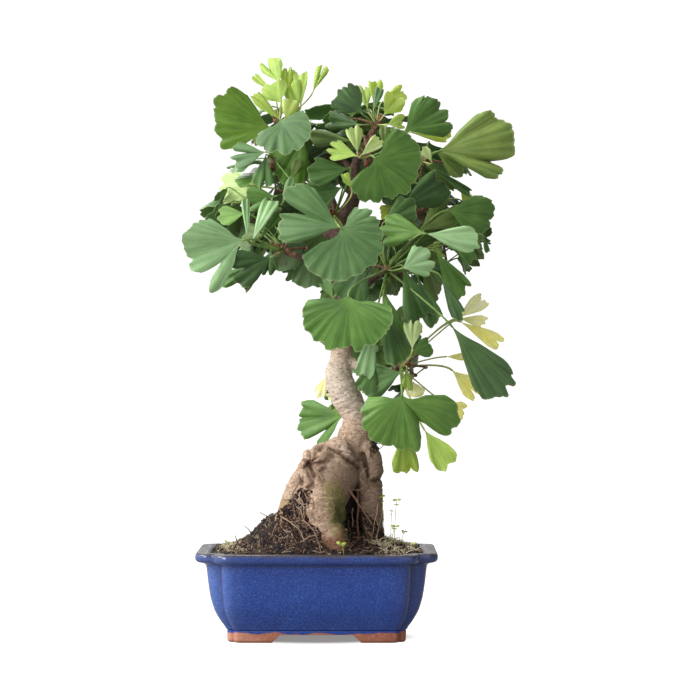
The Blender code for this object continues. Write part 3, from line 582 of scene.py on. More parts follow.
# %% Trunk, roots and boughs
# each row is a chain of stations: x, y, z, radius
TRUNK = (
    ((18, 13, 52, 15), (20, 10, 92, 15), (24, 5, 117, 15.5), (26.5, 1, 134, 13.6),
     (26, 0, 149, 9.2), (19.5, 0, 162, 10.3), (14.6, 0, 174.5, 9.7), (16, 0, 187, 7.6),
     (17, 1, 205, 7.2), (16, 2, 232, 7.4), (15, 3, 258, 6.9), (18, 3, 280, 6.4),
     (25, 2, 298, 4.6), (25, 1, 316, 3.4), (32, -1, 331, 2.4)),
    ((22, -3, 126, 12), (5, -4, 118, 12.6), (-5, -5, 107, 11.4), (-13, -5, 96, 10),
     (-19, -7, 84, 8), (-24, -9, 70, 8), (-28, -10, 50, 8.4)),
    ((12, -8, 116, 13), (1, -10, 102, 13), (-6, -10, 88, 11), (-10, -10, 70, 10),
     (-13, -10, 50, 10)),
    ((18, -8, 118, 13), (12, -17, 104, 13.4), (6, -23, 90, 12.4), (6, -27, 78, 9.6),
     (11, -31, 66, 7.4), (14, -34, 50, 8)),
    ((30, -2, 116, 12.4), (34, -6, 100, 10.2), (36.5, -8, 84, 8), (37.5, -9, 70, 7.4),
     (40, -11, 50, 8)),
    ((12, 14, 112, 12), (0, 23, 94, 10), (-8, 30, 76, 8.4), (-14, 36, 50, 8)),
    ((27, 11, 110, 11), (31, 19, 92, 9.2), (34, 26, 74, 7.6), (37, 32, 50, 7.6)),
    ((-3, -13, 119, 6.6), (-5, -14, 116, 5.8)),
    ((2, -19, 112, 4.8), (1, -20, 110, 4.4)),
    ((-5, -18, 103, 5.6), (-6, -19, 101, 5)),
)
BOUGHS = {
    "bough_top_left": ((12, 3, 284, 4.6), (5, 2, 303, 3.6), (-7, 1, 319, 2.8), (-19, 0, 334, 2)),
    "bough_left": ((12, 1, 262, 3.6), (2, -5, 258, 3), (-7, -9, 255, 2.6), (-15, -11, 257, 2.1)),
    "bough_right": ((18, 1, 224, 4), (27, -7, 231, 3.2), (35, -11, 239, 2.7), (42, -13, 244, 2.2)),
    "bough_top_right": ((24, 2, 300, 3.6), (38, 4, 305, 3), (50, 3, 309, 2.4), (62, 0, 313, 1.9)),
    "bough_lower_right": ((17, 0, 190, 4), (29, -4, 182, 3.2), (41, -7, 179, 2.6),
                          (51, -8, 180, 2.1)),
    "bough_lower_left": ((15, 2, 178, 3.4), (13, 13, 172, 2.8), (12, 22, 168, 2)),
    "bough_back_top": ((25, 2, 312, 3), (21, 14, 319, 2.5), (14, 27, 325, 1.9)),
    "bough_back_middle": ((15, 4, 250, 3.8), (18, 20, 257, 3), (22, 34, 264, 2.1)),
    "bough_back_low": ((17, 3, 212, 3.8), (26, 18, 212, 3), (36, 30, 211, 2.1)),
    "bough_back_left": ((15, 4, 270, 3.8), (-4, 15, 278, 3), (-22, 24, 284, 2)),
    "bough_back_right": ((18, 4, 274, 3.8), (42, 14, 279, 3), (62, 23, 284, 2)),
}

print("chains in the trunk:", len(TRUNK), "boughs:", len(BOUGHS))

# %% Leaf masses
# limb that carries it, spurs, centre and radii of its space, foremost y of the leaves that
# grow by rule, how many of them, seed
MASSES = {
    "foliage_top_left": ("bough_top_left", ((-26, -5, 346), (-29, -8, 322), (-19, 4, 300)),
                         (-28, 20, 330), (44, 40, 36), 4, 10, 11),
    "foliage_left": ("bough_left", ((-21, -12, 260),),
                     (-34, 18, 268), (42, 36, 28), 2, 4, 12),
    "foliage_centre": ("trunk", ((12, -14, 284), (24, -14, 256)),
                       (10, 4, 268), (38, 34, 34), -2, 0, 13),
    "foliage_top": ("trunk_tip", ((40, -6, 345), (34, -16, 322)),
                    (34, 14, 338), (44, 40, 30), 2, 8, 44),
    "foliage_top_right": ("bough_top_right", ((71, -8, 320),),
                          (76, 18, 306), (40, 40, 30), 2, 6, 15),
    "foliage_right": ("bough_right", ((47, -15, 247),),
                      (66, 14, 258), (44, 36, 36), -2, 8, 16),
    "foliage_lower_right": ("bough_lower_right", ((56, -9, 182),),
                            (58, 6, 186), (34, 30, 32), 0, 5, 17),
    "foliage_lower_left": ("bough_lower_left", ((12, 28, 165),),
                           (8, 32, 168), (30, 24, 26), 14, 0, 18),
    "foliage_back_top": ("bough_back_top", ((10, 38, 330), (36, 46, 338), (-16, 50, 318)),
                         (12, 48, 322), (62, 54, 44), 12, 20, 19),
    "foliage_back_middle": ("bough_back_middle", ((24, 44, 268), (2, 54, 254), (36, 62, 252)),
                            (18, 54, 258), (52, 50, 40), 16, 18, 20),
    "foliage_back_low": ("bough_back_low", ((42, 36, 212), (24, 44, 204)),
                         (40, 42, 208), (40, 50, 38), 8, 15, 21),
    "foliage_back_left": ("bough_back_left", ((-30, 32, 288), (-48, 44, 270)),
                          (-38, 40, 282), (46, 50, 40), 10, 16, 22),
    "foliage_back_right": ("bough_back_right", ((70, 32, 288), (86, 44, 270)),
                           (78, 38, 278), (46, 50, 42), 10, 16, 23),
}

SPURS = {mass: np.array(row[1], float) for mass, row in MASSES.items()}
print("leaf masses:", len(MASSES), "spurs:", sum(len(spurs) for spurs in SPURS.values()))

# %% The large outer leaves
# x, y, z of the leaf's base, the way it points as a clock angle seen from the front (0 up,
# 90 right), length, half spread of the fan, then the skew of its lobes and the depth and place
# of its notch, as far as they aren't 0
LEAVES = {
    "foliage_top_left": (
        (-31, -18, 342, -79, 39, 43, .05), (-24, -34, 346, 152, 24, 84, .1),
        (-25, -5, 373, -25, 20, 32, 0, .3, -.3), (-30, -12, 367, -50, 18, 12),
        (-21, 0, 365, 4, 20, 20, 0, .2), (-11, -8, 356, -1, 26, 15), (-24, -18, 358, -27, 17, 48),
        (-12, -14, 356, -22, 19, 32, 0, .1), (-21, -22, 347, 20, 15, 34),
        (-24, -26, 346, -47, 25, 13), (-3, -5, 367, 22, 21, 16, 0, .4),
        (-34, -24, 325, -97, 24, 32, 0, .45, .2), (-34, -20, 324, -172, 23, 26, 0, .35, -.1),
        (-38, 22, 305, -90, 30, 34), (-8, -14, 337, -152, 35, 36), (-17, -20, 307, 20, 15, 22),
        (-28, -6, 297, -96, 20, 34), (-23, -16, 290, 22, 19, 15)),
    "foliage_left": (
        (-48, -40, 266, -107, 40, 50, -.1, .45, -.55), (-48, -14, 285, -97, 19, 30),
        (-46, -26, 267, -3, 28, 8), (-43, -22, 266, 24, 32, 14), (-39, -14, 267, 35, 24, 12),
        (-30, -30, 255, -112, 29, 36, 0, .3), (-37, -22, 252, -117, 33, 13),
        (-37, -10, 249, -142, 20, 8), (-31, -16, 260, -172, 17, 36, 0, .2)),
    "foliage_centre": (
        (16, -62, 273, 134, 32, 100, .28), (16, -48, 274, -72, 43, 38, 0, .4, .05),
        (17, -34, 301, -108, 26, 36), (22, -26, 314, -98, 28, 28), (23, -44, 300, -30, 11, 24),
        (33, -26, 252, -150, 31, 36), (11, -14, 228, -28, 15, 22)),
    "foliage_top": (
        (30, -14, 352, -45, 23, 46, 0, .1, .3), (34, -4, 356, -13, 18, 26, 0, .3, .1),
        (38, 4, 360, 8, 17, 24, 0, .15), (38, -16, 354, 16, 16, 15),
        (44, -2, 361, 62, 18, 26, 0, .25, -.2), (45, -12, 351, 38, 17, 40, 0, .15),
        (47, -20, 344, 74, 13, 34, 0, .2), (23, -22, 333, -84, 28, 17),
        (29, -18, 344, -78, 23, 22), (27, -48, 323, -8, 18, 24, 0, .1),
        (27, -44, 321, -74, 21, 28, 0, .35, .1), (29, -46, 321, 50, 18, 20, 0, .1),
        (45, -26, 328, 0, 15, 20), (58, -20, 339, 55, 34, 40, .1, .1), (61, -6, 341, 96, 30, 12),
        (38, -60, 319, 128, 31, 96)),
    "foliage_top_right": (
        (80, -30, 325, 82, 51, 36, 0, .15, .5), (80, -22, 325, 118, 23, 32),
        (76, -36, 318, -28, 11, 28), (72, -18, 320, 127, 29, 9), (75, -12, 317, 123, 34, 7)),
    "foliage_right": (
        (56, -14, 289, 62, 35, 27), (45, -22, 279, 60, 24, 32),
        (69, -36, 273, 51, 33, 29, 0, .32, -.1), (88, -12, 287, 99, 32, 40),
        (72, -46, 270, 99, 35, 20), (71, -40, 271, -84, 29, 32, 0, .1, .2),
        (91, -24, 265, 130, 19, 24, 0, .1), (112, -6, 270, 164, 11, 14),
        (56, -52, 247, 68, 22, 42, 0, .2, .1), (79, -26, 259, 146, 35, 18),
        (82, -36, 242, 155, 32, 12), (57, -30, 249, 160, 40, 20, 0, .15),
        (67, -20, 243, 162, 35, 17), (89, -46, 209, 140, 60, 19, 0, .1, -.2),
        (21, -66, 229, -176, 38, 80, 0, .16), (45, -28, 233, 168, 41, 18),
        (38, -44, 212, -170, 38, 13), (45, -36, 219, 162, 37, 20)),
    "foliage_lower_right": (
        (63, -46, 194, 2, 20, 26, 0, .2), (63, -36, 192, 72, 15, 38), (57, -26, 179, -106, 31, 34),
        (39, -16, 183, -156, 20, 30), (95, 16, 215, 54, 25, 19, 0, .15), (96, 10, 215, 98, 19, 18),
        (97, 20, 213, 118, 34, 13, 0, .1), (91, 8, 180, 130, 28, 24, 0, .35, .2),
        (87, 12, 157, 122, 16, 40, 0, .1), (60, -22, 182, 180, 16, 20), (62, -8, 162, 48, 11, 45),
        (87, 2, 189, 90, 14, 15), (56, -56, 164, 178, 38, 88, -.2, .5, -.36),
        (58, -40, 141, 178, 30, 24), (71, -46, 141, 146, 29, 25)),
    "foliage_lower_left": (
        (18, 16, 149, -106, 33, 42, 0, .5, -.55), (6, 20, 176, -158, 16, 22),
        (14, 14, 164, -118, 8, 30)),
}

# the green of each of these leaves, in the same order: d deep, b blue, s paler blue as painted
# light, m middle, y fresh, o olive, l lime and partly painted light, p pale, g gold
GREENS = {
    "foliage_top_left": "yblllllllllbbpyomb",
    "foliage_left": "smssmdmod", "foliage_centre": "bbddldm",
    "foliage_top": "dllblllodplpomlm", "foliage_top_right": "oopod",
    "foliage_right": "ddomsmmdsmdddbmmsd", "foliage_lower_right": "pmddggggglggmll",
    "foliage_lower_left": "mgg"}
print("placed leaves:", sum(len(rows) for rows in LEAVES.values()))

# %% [markdown]
# ## How a leaf is drawn
# A ginkgo leaf is a fan on a long stalk, often cleft in the middle, with a crimped outer rim.
# It could be modelled once and copied, but no two fans here have the same spread or cleft.
# One formula draws them all instead: it turns a place across the fan and a place from base
# to rim into a point. A coarse reading of it is what the solids use, and a fine reading adds
# the lobes, crimps and small slits of the rim.

# %% The fan of a leaf
CRIMP, CRIMP_DEPTH = 4.8, .55           # length and height of the rim's crimps
LOBE, LOBE_DEPTH = 11.0, 3.6            # length and depth of the rim's rounded lobes
SLIT_WIDTH = .022
RUFFLE = .5                    # how far the rim waves forwards and back
NOTCH_WIDTH = .1


def leaf_traits(base, along, face, length, spread, skew, notch, notch_at, tilt, seed):
    rnd = random.Random(seed)
    y_axis = unit(np.array(along, float))
    z_axis = np.array(face, float)
    z_axis = unit(z_axis - (z_axis @ y_axis) * y_axis)
    return SimpleNamespace(
        base=np.array(base, float), axes=(np.cross(y_axis, z_axis), y_axis, z_axis),
        length=length, spread=math.radians(spread), skew=skew, notch=notch, notch_at=notch_at,
        tilt=tilt, phases=[rnd.uniform(0, 6.28) for _ in range(4)], fold=rnd.uniform(.05, .3),
        droop=rnd.uniform(.05, .3), arc=2 * math.radians(spread) * length, shade=rnd.random(),
        slits=[(rnd.uniform(-.9, .9), rnd.uniform(.015, .07)) for _ in range(5)])


def fine_rim(leaf, s, t, waves):
    """How far the crimps and the rounded lobes move the rim out."""
    a, b, c, _ = leaf.phases
    crimps = .5 * np.sin(waves * s + c) + .3 * np.sin(1.9 * waves * s + 2 * a)
    lobes = (1 - np.abs(np.sin(.5 * math.pi * leaf.arc / LOBE * s + c))) ** 1.2
    lobes = lobes * (.6 + .4 * np.sin(3.3 * s + b))
    return smooth((t - .3) / .7) * (crimps * CRIMP_DEPTH - lobes * LOBE_DEPTH) / leaf.length


def blade(leaf, s, t, fine=0):
    """Point of the fan: s runs -1..1 from edge to edge, t runs 0..1 from base to rim.
    Fine adds the rim's lobes and crimps, its slits, a ruffle and a soft fold."""
    s, t = np.asarray(s, float), np.asarray(t, float)
    a, b, _, d = leaf.phases
    rim = 1 - .08 * s ** 2 - .22 * np.abs(s) ** 7 + .035 * np.sin(5.2 * s + a)
    rim = rim + .022 * np.sin(11 * s + b)
    notch = leaf.notch * np.exp(-((s - leaf.notch_at) / NOTCH_WIDTH) ** 2)
    rim = rim * (1 + leaf.skew * s) - notch
    waves = math.pi * leaf.arc / CRIMP
    if fine:
        rim = rim + fine_rim(leaf, s, t, waves)
        for at, depth in leaf.slits:
            rim = rim - depth * smooth((t - .4) / .6) * np.exp(-((s - at) / SLIT_WIDTH) ** 2)
    r = leaf.length * rim * t
    angle = leaf.spread * s * (.62 + .38 * smooth(t / .55))
    x, y = r * np.sin(angle), r * np.cos(angle)
    soft = fine * .07 * leaf.length
    z = leaf.fold * (np.sqrt(x * x + soft * soft) - soft) - leaf.droop * leaf.length * t ** 2
    z = z + .03 * leaf.length * t ** 2 * np.sin(7 * s + d)
    if fine:
        z = z + RUFFLE * t ** 3 * np.sin(.6 * waves * s + b)
    z = z + leaf.tilt[0] * x + leaf.tilt[1] * y
    ax, ay, az = leaf.axes
    return leaf.base + x[..., None] * ax + y[..., None] * ay + z[..., None] * az


print("lobes every", LOBE, "mm, crimps every", CRIMP, "mm")

# %% A leaf as a solid
SMALL_LEAF = 26                # a shorter leaf is drawn with fewer points
CLEFT = .08                    # a deeper notch than this has points of its own
STALK_RADIUS = .75             # also sets how thick a leaf is at its base
STALK_STEPS = 2
STALK_CORNERS = (0, 2.094, 4.189)       # radians round the stalk


def leaf_solid(start, leaf):
    """A three-sided stalk that opens into the fan, which thins out to a sharp rim."""
    into = unit(leaf.axes[1] + leaf.tilt[1] * leaf.axes[2])
    reach = np.linalg.norm(leaf.base - start)
    path = bezier(start, leaf.base - into * .4 * reach, leaf.base, STALK_STEPS)
    tangents = np.gradient(path, axis=0)
    normal, rings = leaf.axes[2], []
    for point, tangent in zip(path[::-1], tangents[::-1]):
        tangent = unit(tangent)
        normal = unit(normal - (normal @ tangent) * tangent)
        side = np.cross(tangent, normal)
        rings.insert(0, [point + STALK_RADIUS * (math.cos(a) * normal + math.sin(a) * side)
                         for a in STALK_CORNERS])
    s = list(np.linspace(-1, 1, 8 if leaf.length > SMALL_LEAF else 6))
    if leaf.notch > CLEFT:
        at = leaf.notch_at
        s = [v for v in s if abs(v - at) > .24] + [at - .17, at, at + .17]
    rim = blade(leaf, np.array(sorted(s)), np.ones(len(s)))
    verts = np.vstack((np.vstack(rings), rim))
    stalk = [(0, 1, 2)]
    for k in range(0, 3 * STALK_STEPS, 3):
        for i in range(3):
            j = (i + 1) % 3
            stalk.append((k + i, k + j, k + j + 3, k + i + 3))
    top, first = 3 * STALK_STEPS, 3 * STALK_STEPS + 3
    last, middle = len(verts) - 1, first + len(s) // 2
    near, far = top + 2, top + 1
    fan = [(top, k, k + 1) for k in range(first, last)]
    fan += [(near, k + 1, k) for k in range(first, middle)]
    fan += [(far, k + 1, k) for k in range(middle, last)]
    fan += [(near, middle, far), (top, near, first), (top, last, far)]
    return verts, stalk, fan


print("a solid leaf's rim has 6 or 8 points, more where it is cleft")

# %% [markdown]
# ## How the crown grows
# Leaves must not pass through each other or through a limb. Nature sees to that by growth,
# and here each leaf is tried in its place and kept only where it touches nothing. A placed
# leaf may slide forwards or back until it fits. The others are dealt out round the spurs by
# the golden turn, with every draw from the mass's own seed, so the crown is the same each
# time. When all the leaves of the solids stand, finer shoots with smaller leaves fill in
# behind them, in the same spaces, and leave open the places where the sky shows through.

# %% Testing for touch
def touch_tree(verts, faces):
    return BVHTree.FromPolygons([tuple(v) for v in verts], faces)


def crosses_itself(verts, faces):
    tree = touch_tree(verts, faces)
    return any(not set(faces[a]) & set(faces[b]) for a, b in tree.overlap(tree))


class Grown:
    """What has grown so far, each solid with its mass, its kind and its box."""

    def __init__(self):
        self.items = []

    def add(self, mass, kind, verts, faces):
        self.items.append((mass, kind, verts.min(0), verts.max(0), touch_tree(verts, faces)))

    def free(self, mass, kind, verts, faces, strict):
        """No other mass is touched, nor a fan of this one."""
        low, high = verts.min(0) - .3, verts.max(0) + .3
        tree = None
        for other_mass, other_kind, a, b, other in self.items:
            fans = (kind == "fan") + (other_kind == "fan")
            if other_mass == mass and ("twig" in (kind, other_kind) or fans < 2 - strict):
                continue
            if (a > high).any() or (b < low).any():
                continue
            if tree is None:
                tree = touch_tree(verts, faces)
            if tree.overlap(other):
                return False
        return True


grown = Grown()
print("solids grown so far:", len(grown.items))

# %% Stems and spurs of a mass
GAP = 0.35                     # clearance between a stem and the tip of its bough
TRUNK_SHRINK = 0.1             # a stem on the trunk begins this far within the drawn radius,
                               # because smoothing thins the trunk a little
TWIG_RADIUS, FORK_RADII = 1.8, (1.5, 1.2)
SPUR_RADIUS, SPUR_LENGTH = 3.1, 8.0


def stem_start(mass):
    """Where the mass's stem begins, clear of the limb that carries it, and its direction."""
    limb, first = MASSES[mass][0], SPURS[mass][0]
    if limb == "trunk":
        chain = refine(TRUNK[0], 4)
        k = np.linalg.norm(chain[:, :3] - first, axis=1).argmin()
        way = unit(first - chain[k, :3])
        return chain[k, :3] + way * (chain[k, 3] - TRUNK_SHRINK), way
    chain = TRUNK[0] if limb == "trunk_tip" else BOUGHS[limb]
    tip, before = np.array(chain[-1][:3], float), np.array(chain[-2][:3], float)
    way = unit(tip - before)
    return tip + way * GAP, way


def twig_curves(mass, steps, sunk=0.0):
    """The stem to the mass's first spur, where its twigs fork off, and those twigs."""
    spurs = SPURS[mass]
    start, way = stem_start(mass)
    bend = start + way * np.linalg.norm(spurs[0] - start) * .5
    fork = bezier(start, bend, spurs[0], 3)[2]
    twigs = [bezier(fork, (fork + spur) / 2 + unit(spur - fork)[[1, 2, 0]] * 2, spur, steps)
             for spur in spurs[1:]]
    return bezier(start - way * sunk, bend, spurs[0], steps), fork, twigs


def twig_solids(mass):
    """The mass's stem to its first spur, and twigs from there to its other spurs."""
    stem, fork, twigs = twig_curves(mass, 3)
    solids = [tube(stem, np.linspace(TWIG_RADIUS * 1.1, TWIG_RADIUS, 4), 5)]
    solids += [tube(twig, np.linspace(*FORK_RADII, 4), 5) for twig in twigs]
    for k, spur in enumerate(SPURS[mass]):
        out = unit(spur - (fork if k else stem[1]))
        ends = np.array((spur - out * SPUR_LENGTH * .4, spur, spur + out * SPUR_LENGTH * .6))
        solids.append(tube(ends, (SPUR_RADIUS * .8, SPUR_RADIUS, SPUR_RADIUS * .7), 7))
    return solids


print("stems begin at", {mass: stem_start(mass)[0].round(1).tolist() for mass in MASSES})

# %% Leaves of a mass
TILT = .5                      # how far a placed leaf may slope out of the front plane
RULE_PETIOLE = (14, 34)
RULE_LENGTH, RULE_SPREAD = (21, 34), (44, 78)
RULE_RISE, RULE_DROOP = (-.5, .9), (.2, 1.1)
RULE_NOTCHES = (0, 0, .15, .3, .45)
GOLDEN_TURN = 2.4              # turn from one leaf of a spur to the next
CROWN_HEART = (20.0, 5.0, 268.0)        # leaves lean away from here


def placed_leaf(row, shift, slope, seed):
    x, y, z, heading, length, spread, skew, notch, notch_at = (*row, 0, 0, 0)[:9]
    rnd = random.Random(seed)
    a = math.radians(heading)
    tilt = (rnd.uniform(-slope, slope), rnd.uniform(-slope, slope))
    return leaf_traits((x, y + shift, z), (math.sin(a), 0, math.cos(a)), (0, -1, 0), length,
                       spread, skew, notch, notch_at, tilt, seed)


def rule_leaf(spur, rnd, turn, petiole=RULE_PETIOLE, length=RULE_LENGTH):
    """A leaf of a spur's rosette, leaning out of the crown and drooping."""
    rise = rnd.uniform(*RULE_RISE)
    out = unit(spur - np.array(CROWN_HEART))
    way = unit(np.array((math.cos(turn), math.sin(turn), rise)) + .7 * out)
    base = spur + way * rnd.uniform(*petiole)
    along = way + np.array((0, 0, -rnd.uniform(*RULE_DROOP))) + rnd.uniform(-.3, .3) * out
    face = unit(np.array((0, 0, .6)) + out + .4 * np.array([rnd.uniform(-1, 1) for _ in range(3)]))
    return leaf_traits(base, along, face, rnd.uniform(*length), rnd.uniform(*RULE_SPREAD),
                       rnd.uniform(-.1, .1), rnd.choice(RULE_NOTCHES),
                       rnd.uniform(-.3, .3), (0, 0), rnd.random())


def leaf_start(spurs, base):
    """Where the stalk of a leaf leaves its nearest spur."""
    spur = spurs[np.linalg.norm(spurs - base, axis=1).argmin()]
    return spur + unit(base - spur) * SPUR_RADIUS * .55


def stands_free(mass, start, leaf, strict):
    """True if the leaf touches nothing, and then it counts as grown."""
    verts, stalk, fan = leaf_solid(start, leaf)
    if (crosses_itself(verts, stalk + fan) or not grown.free(mass, "fan", verts, fan, strict)
            or not grown.free(mass, "stalk", verts, stalk, strict)):
        return False
    grown.add(mass, "stalk", verts, stalk[-3:])
    grown.add(mass, "fan", verts, fan)
    return True


def rim_points(leaf):
    return blade(leaf, np.linspace(-1, 1, 7), np.ones(7))


def keeps_inside(mass, points, front, most=1):
    """True if the points keep to the mass's space and behind that front."""
    centre, radii = [np.array(v, float) for v in MASSES[mass][2:4]]
    spread = (((points - centre) / radii) ** 2).sum(-1).max()
    return spread < most and points[..., 1].min() >= front


print("a spur's next leaf turns by", GOLDEN_TURN, "radians")

# %% Growing the leaves of the solids
DEPTH_TRIES = (0, -3, 3, -6, 6, -9, 9, -13, 13, -17, 17, 22, -22, 27, 33)
LIMB_CLEARANCE = 1.2           # between a limb and the leaves of any mass
RULE_TRIES = 60                # places tried for each leaf that grows by rule
RULE_GREENS = "dddmmybbool"
RULE_PAINT = 500               # added to a mass's seed for the draws of its greens
crown = {mass: [] for mass in MASSES}


def grow_limbs():
    """The limbs and the stems and spurs of every mass."""
    for chain in TRUNK + tuple(BOUGHS.values()):
        path = refine(chain, 3)
        grown.add("limb", "limb", *tube(path[:, :3], path[:, 3] + LIMB_CLEARANCE, 8))
    for mass in MASSES:
        for verts, faces in twig_solids(mass):
            grown.add(mass, "twig", verts, faces)


def grow_placed():
    for mass, rows in LEAVES.items():
        for k, row in enumerate(rows):
            for trial, shift in enumerate(DEPTH_TRIES):
                slope = TILT * (1 - trial / len(DEPTH_TRIES))
                leaf = placed_leaf(row, shift, slope, 100 * MASSES[mass][6] + k)
                start = leaf_start(SPURS[mass], leaf.base)
                if stands_free(mass, start, leaf, False):
                    crown[mass].append((leaf, start, GREENS[mass][k]))
                    break


def grow_by_rule():
    for mass, (*_, front, count, seed) in MASSES.items():
        rnd, paint, spurs = random.Random(seed), random.Random(RULE_PAINT + seed), SPURS[mass]
        made = 0
        for attempt in range(count * RULE_TRIES):
            if made == count:
                break
            leaf = rule_leaf(spurs[attempt % len(spurs)], rnd, GOLDEN_TURN * attempt)
            if not keeps_inside(mass, rim_points(leaf), front) or leaf.base[1] < front:
                continue
            start = leaf_start(spurs, leaf.base)
            if stands_free(mass, start, leaf, True):
                crown[mass].append((leaf, start, paint.choice(RULE_GREENS)))
                made += 1


grow_limbs()
grow_placed()
grow_by_rule()
print("leaves of the solids:", {mass: len(rows) for mass, rows in crown.items()})

# %% Finer shoots and smaller leaves
SHOOT_TRIES, SHOOTS_EACH = 60, 7
SHOOT_REACH, SHOOT_RADIUS = (8, 22), (1.0, .7)
SHOOT_SPACE = .8               # the share of a mass's space that the tips keep to
SHOOT_AHEAD, SMALL_AHEAD = 12, 8        # how far before a mass's front shoots and leaves may be
SMALL_PETIOLE, SMALL_LENGTH = (7, 20), (11, 24)
SHOOT_SEED, SHOOT_PAINT = 900, 700      # added to a mass's seed for its shoots and their greens
LEAF_TRIES = 14
# openings through which the sky shows: x, z, half width, half height at the pot's axis
SKY_GAPS = ((-31, 246, 22, 20), (1, 352, 9, 12), (70, 336, 15, 9), (94, 300, 12, 8),
            (78, 214, 18, 22), (-8, 173, 12, 14), (78, 178, 22, 18))
shoots = []


def against_sky(points):
    """True if any point hides one of the openings from the eye."""
    eye = np.array(EYE, float)
    seen = eye + (points - eye) * ((0 - eye[1]) / (points[:, 1:2] - eye[1]))
    return any((((seen[:, 0] - x) / a) ** 2 + ((seen[:, 2] - z) / b) ** 2).min() < 1
               for x, z, a, b in SKY_GAPS)


def grow_tuft(mass, tip, front, rnd, paint):
    """The small leaves at the tip of a shoot."""
    tuft = []
    for turn in range(LEAF_TRIES):
        leaf = rule_leaf(tip, rnd, GOLDEN_TURN * turn, SMALL_PETIOLE, SMALL_LENGTH)
        edge = rim_points(leaf)
        if not keeps_inside(mass, edge, front - SMALL_AHEAD) or against_sky(edge):
            continue
        start = tip + unit(leaf.base - tip) * SHOOT_RADIUS[1] * .5
        if stands_free(mass, start, leaf, True):
            tuft.append((leaf, start, paint.choice(RULE_GREENS)))
    return tuft


def grow_shoots():
    """Thin shoots from the spurs, each with a small tuft of leaves at its tip."""
    for mass, (*_, front, _, seed) in MASSES.items():
        rnd, paint = random.Random(SHOOT_SEED + seed), random.Random(SHOOT_PAINT + seed)
        made = 0
        for attempt in range(SHOOT_TRIES):
            if made == SHOOTS_EACH:
                break
            spur = SPURS[mass][attempt % len(SPURS[mass])]
            lean = unit(spur - np.array(CROWN_HEART))
            way = unit(np.array([rnd.uniform(-1, 1) for _ in range(3)]) + .5 * lean)
            tip = spur + way * rnd.uniform(*SHOOT_REACH)
            if not keeps_inside(mass, tip, front - SHOOT_AHEAD, SHOOT_SPACE):
                continue
            path = bezier(spur + way * SPUR_RADIUS * .5, (spur + tip) / 2 + (0, 0, 2.), tip, 3)
            twig = tube(path, np.linspace(*SHOOT_RADIUS, 4), 5)
            free = grown.free(mass, "fan", *twig, True)
            tuft = free and grow_tuft(mass, tip, front, rnd, paint)
            if tuft:
                crown[mass] += tuft
                grown.add(mass, "twig", *twig)
                shoots.append(path)
                made += 1


grow_shoots()
print("with the small leaves:", {mass: len(rows) for mass, rows in crown.items()},
      "shoots:", len(shoots))

# %% [markdown]
# ## Green for the leaves
# A ginkgo leaf is a satin green with veins that fan out from its stalk, a thin pale rim and a
# greyer underside. Young leaves at the tips are lime, old ones in the shade are deep, and the
# low ones turn gold. The lime is also lightened as painted light shining through the young
# leaves, and one green is a paler copy of the blue that stands for painted light on leaves
# that catch the lamp. One recipe makes all nine greens from four colours each. It reads a
# map that runs across the fan in millimetres and from base to rim, so the veins follow the
# leaf, and a second map that says how light each leaf is and which side of it shows.

# %% Nine greens
# name, shadow, body and light colour, and the colour of the underside
LEAF_COLOURS = {"d": ("deep", "233c1c", "41652b", "618c40", "5d7d48"),
                "b": ("blue", "3f6235", "5c8349", "83aa66", "799a62"),
                # painted light: the s green is a paler copy of the blue green, for leaves that
                # catch the lamp
                "s": ("lit_blue", "77a468", "a2cc8c", "c4e5b0", "aed09a"),
                "m": ("middle", "3f6626", "5e8a36", "88b150", "7b9b5c"),
                "y": ("fresh", "2f5212", "557f1f", "86ae3c", "6d9440"),
                "o": ("olive", "465f2a", "68833a", "98ad4e", "7c905a"),
                # painted light: the lime is partly lightened to stand for light shining through
                # young leaves
                "l": ("lime", "7d9f3a", "a6c457", "cbdd86", "b4ca78"),
                "p": ("pale", "9dba66", "bdd48c", "d9e7b0", "c8d99c"),
                "g": ("gold", "ecdf86", "f7eea4", "fefad8", "faf4c6")}
THIN_LEAVES = {"l": .4, "p": .4, "g": .75}      # how much light young and dying leaves let in


def leaf_finish(letter):
    name, shadow, body, light, under = LEAF_COLOURS[letter]
    leaf = Finish("leaf_" + name, Roughness=.46, Sheen_Weight=.08)
    _, along, _ = leaf.split(leaf.uv("fan"))
    shade, side, _ = leaf.split(leaf.uv("leaf_kind"))
    streaks = leaf.clouds(leaf.uv("fan", (.32, 1.1, 1)), 1, 4, .62)
    veins = leaf.clouds(leaf.uv("fan", (2.6, .7, 1)), 1, 3, .6)
    clouds = leaf.clouds(leaf.place(), .07, 3)
    tone = leaf.plus(leaf.range(streaks, .3, .7, .12, .62), leaf.range(shade, 0, 1, -.16, .24))
    tone = leaf.plus(tone, leaf.range(clouds, .3, .7, -.12, .14))
    colour = leaf.ramp(tone, (0, shadow), (.42, body), (.95, light))
    colour = leaf.mix(leaf.range(veins, .54, .7, 0, .26), colour, light)
    colour = leaf.mix(leaf.range(along, .28, .02, 0, .4), colour, light)
    colour = leaf.mix(leaf.range(along, .968, .99, 0, .38), colour, "b9c78c")
    colour = leaf.stain(colour, leaf.range(leaf.cells(leaf.place(), .33), .07, .045), "cfd8b8", .4)
    colour = leaf.stain(colour, side, under, .75)
    leaf.set(Base_Color=colour, Roughness=leaf.range(streaks, .3, .7, .4, .55),
             Normal=leaf.relief(leaf.plus(veins, leaf.times(streaks, .5)), .16))
    if letter in THIN_LEAVES:
        leaf.set(Subsurface_Weight=THIN_LEAVES[letter], Subsurface_Radius=(1, .9, .4),
                 Subsurface_Scale=.0015)
    return leaf


leaf_finishes = [leaf_finish(letter) for letter in LEAF_COLOURS]
print("leaf finishes:", len(leaf_finishes))

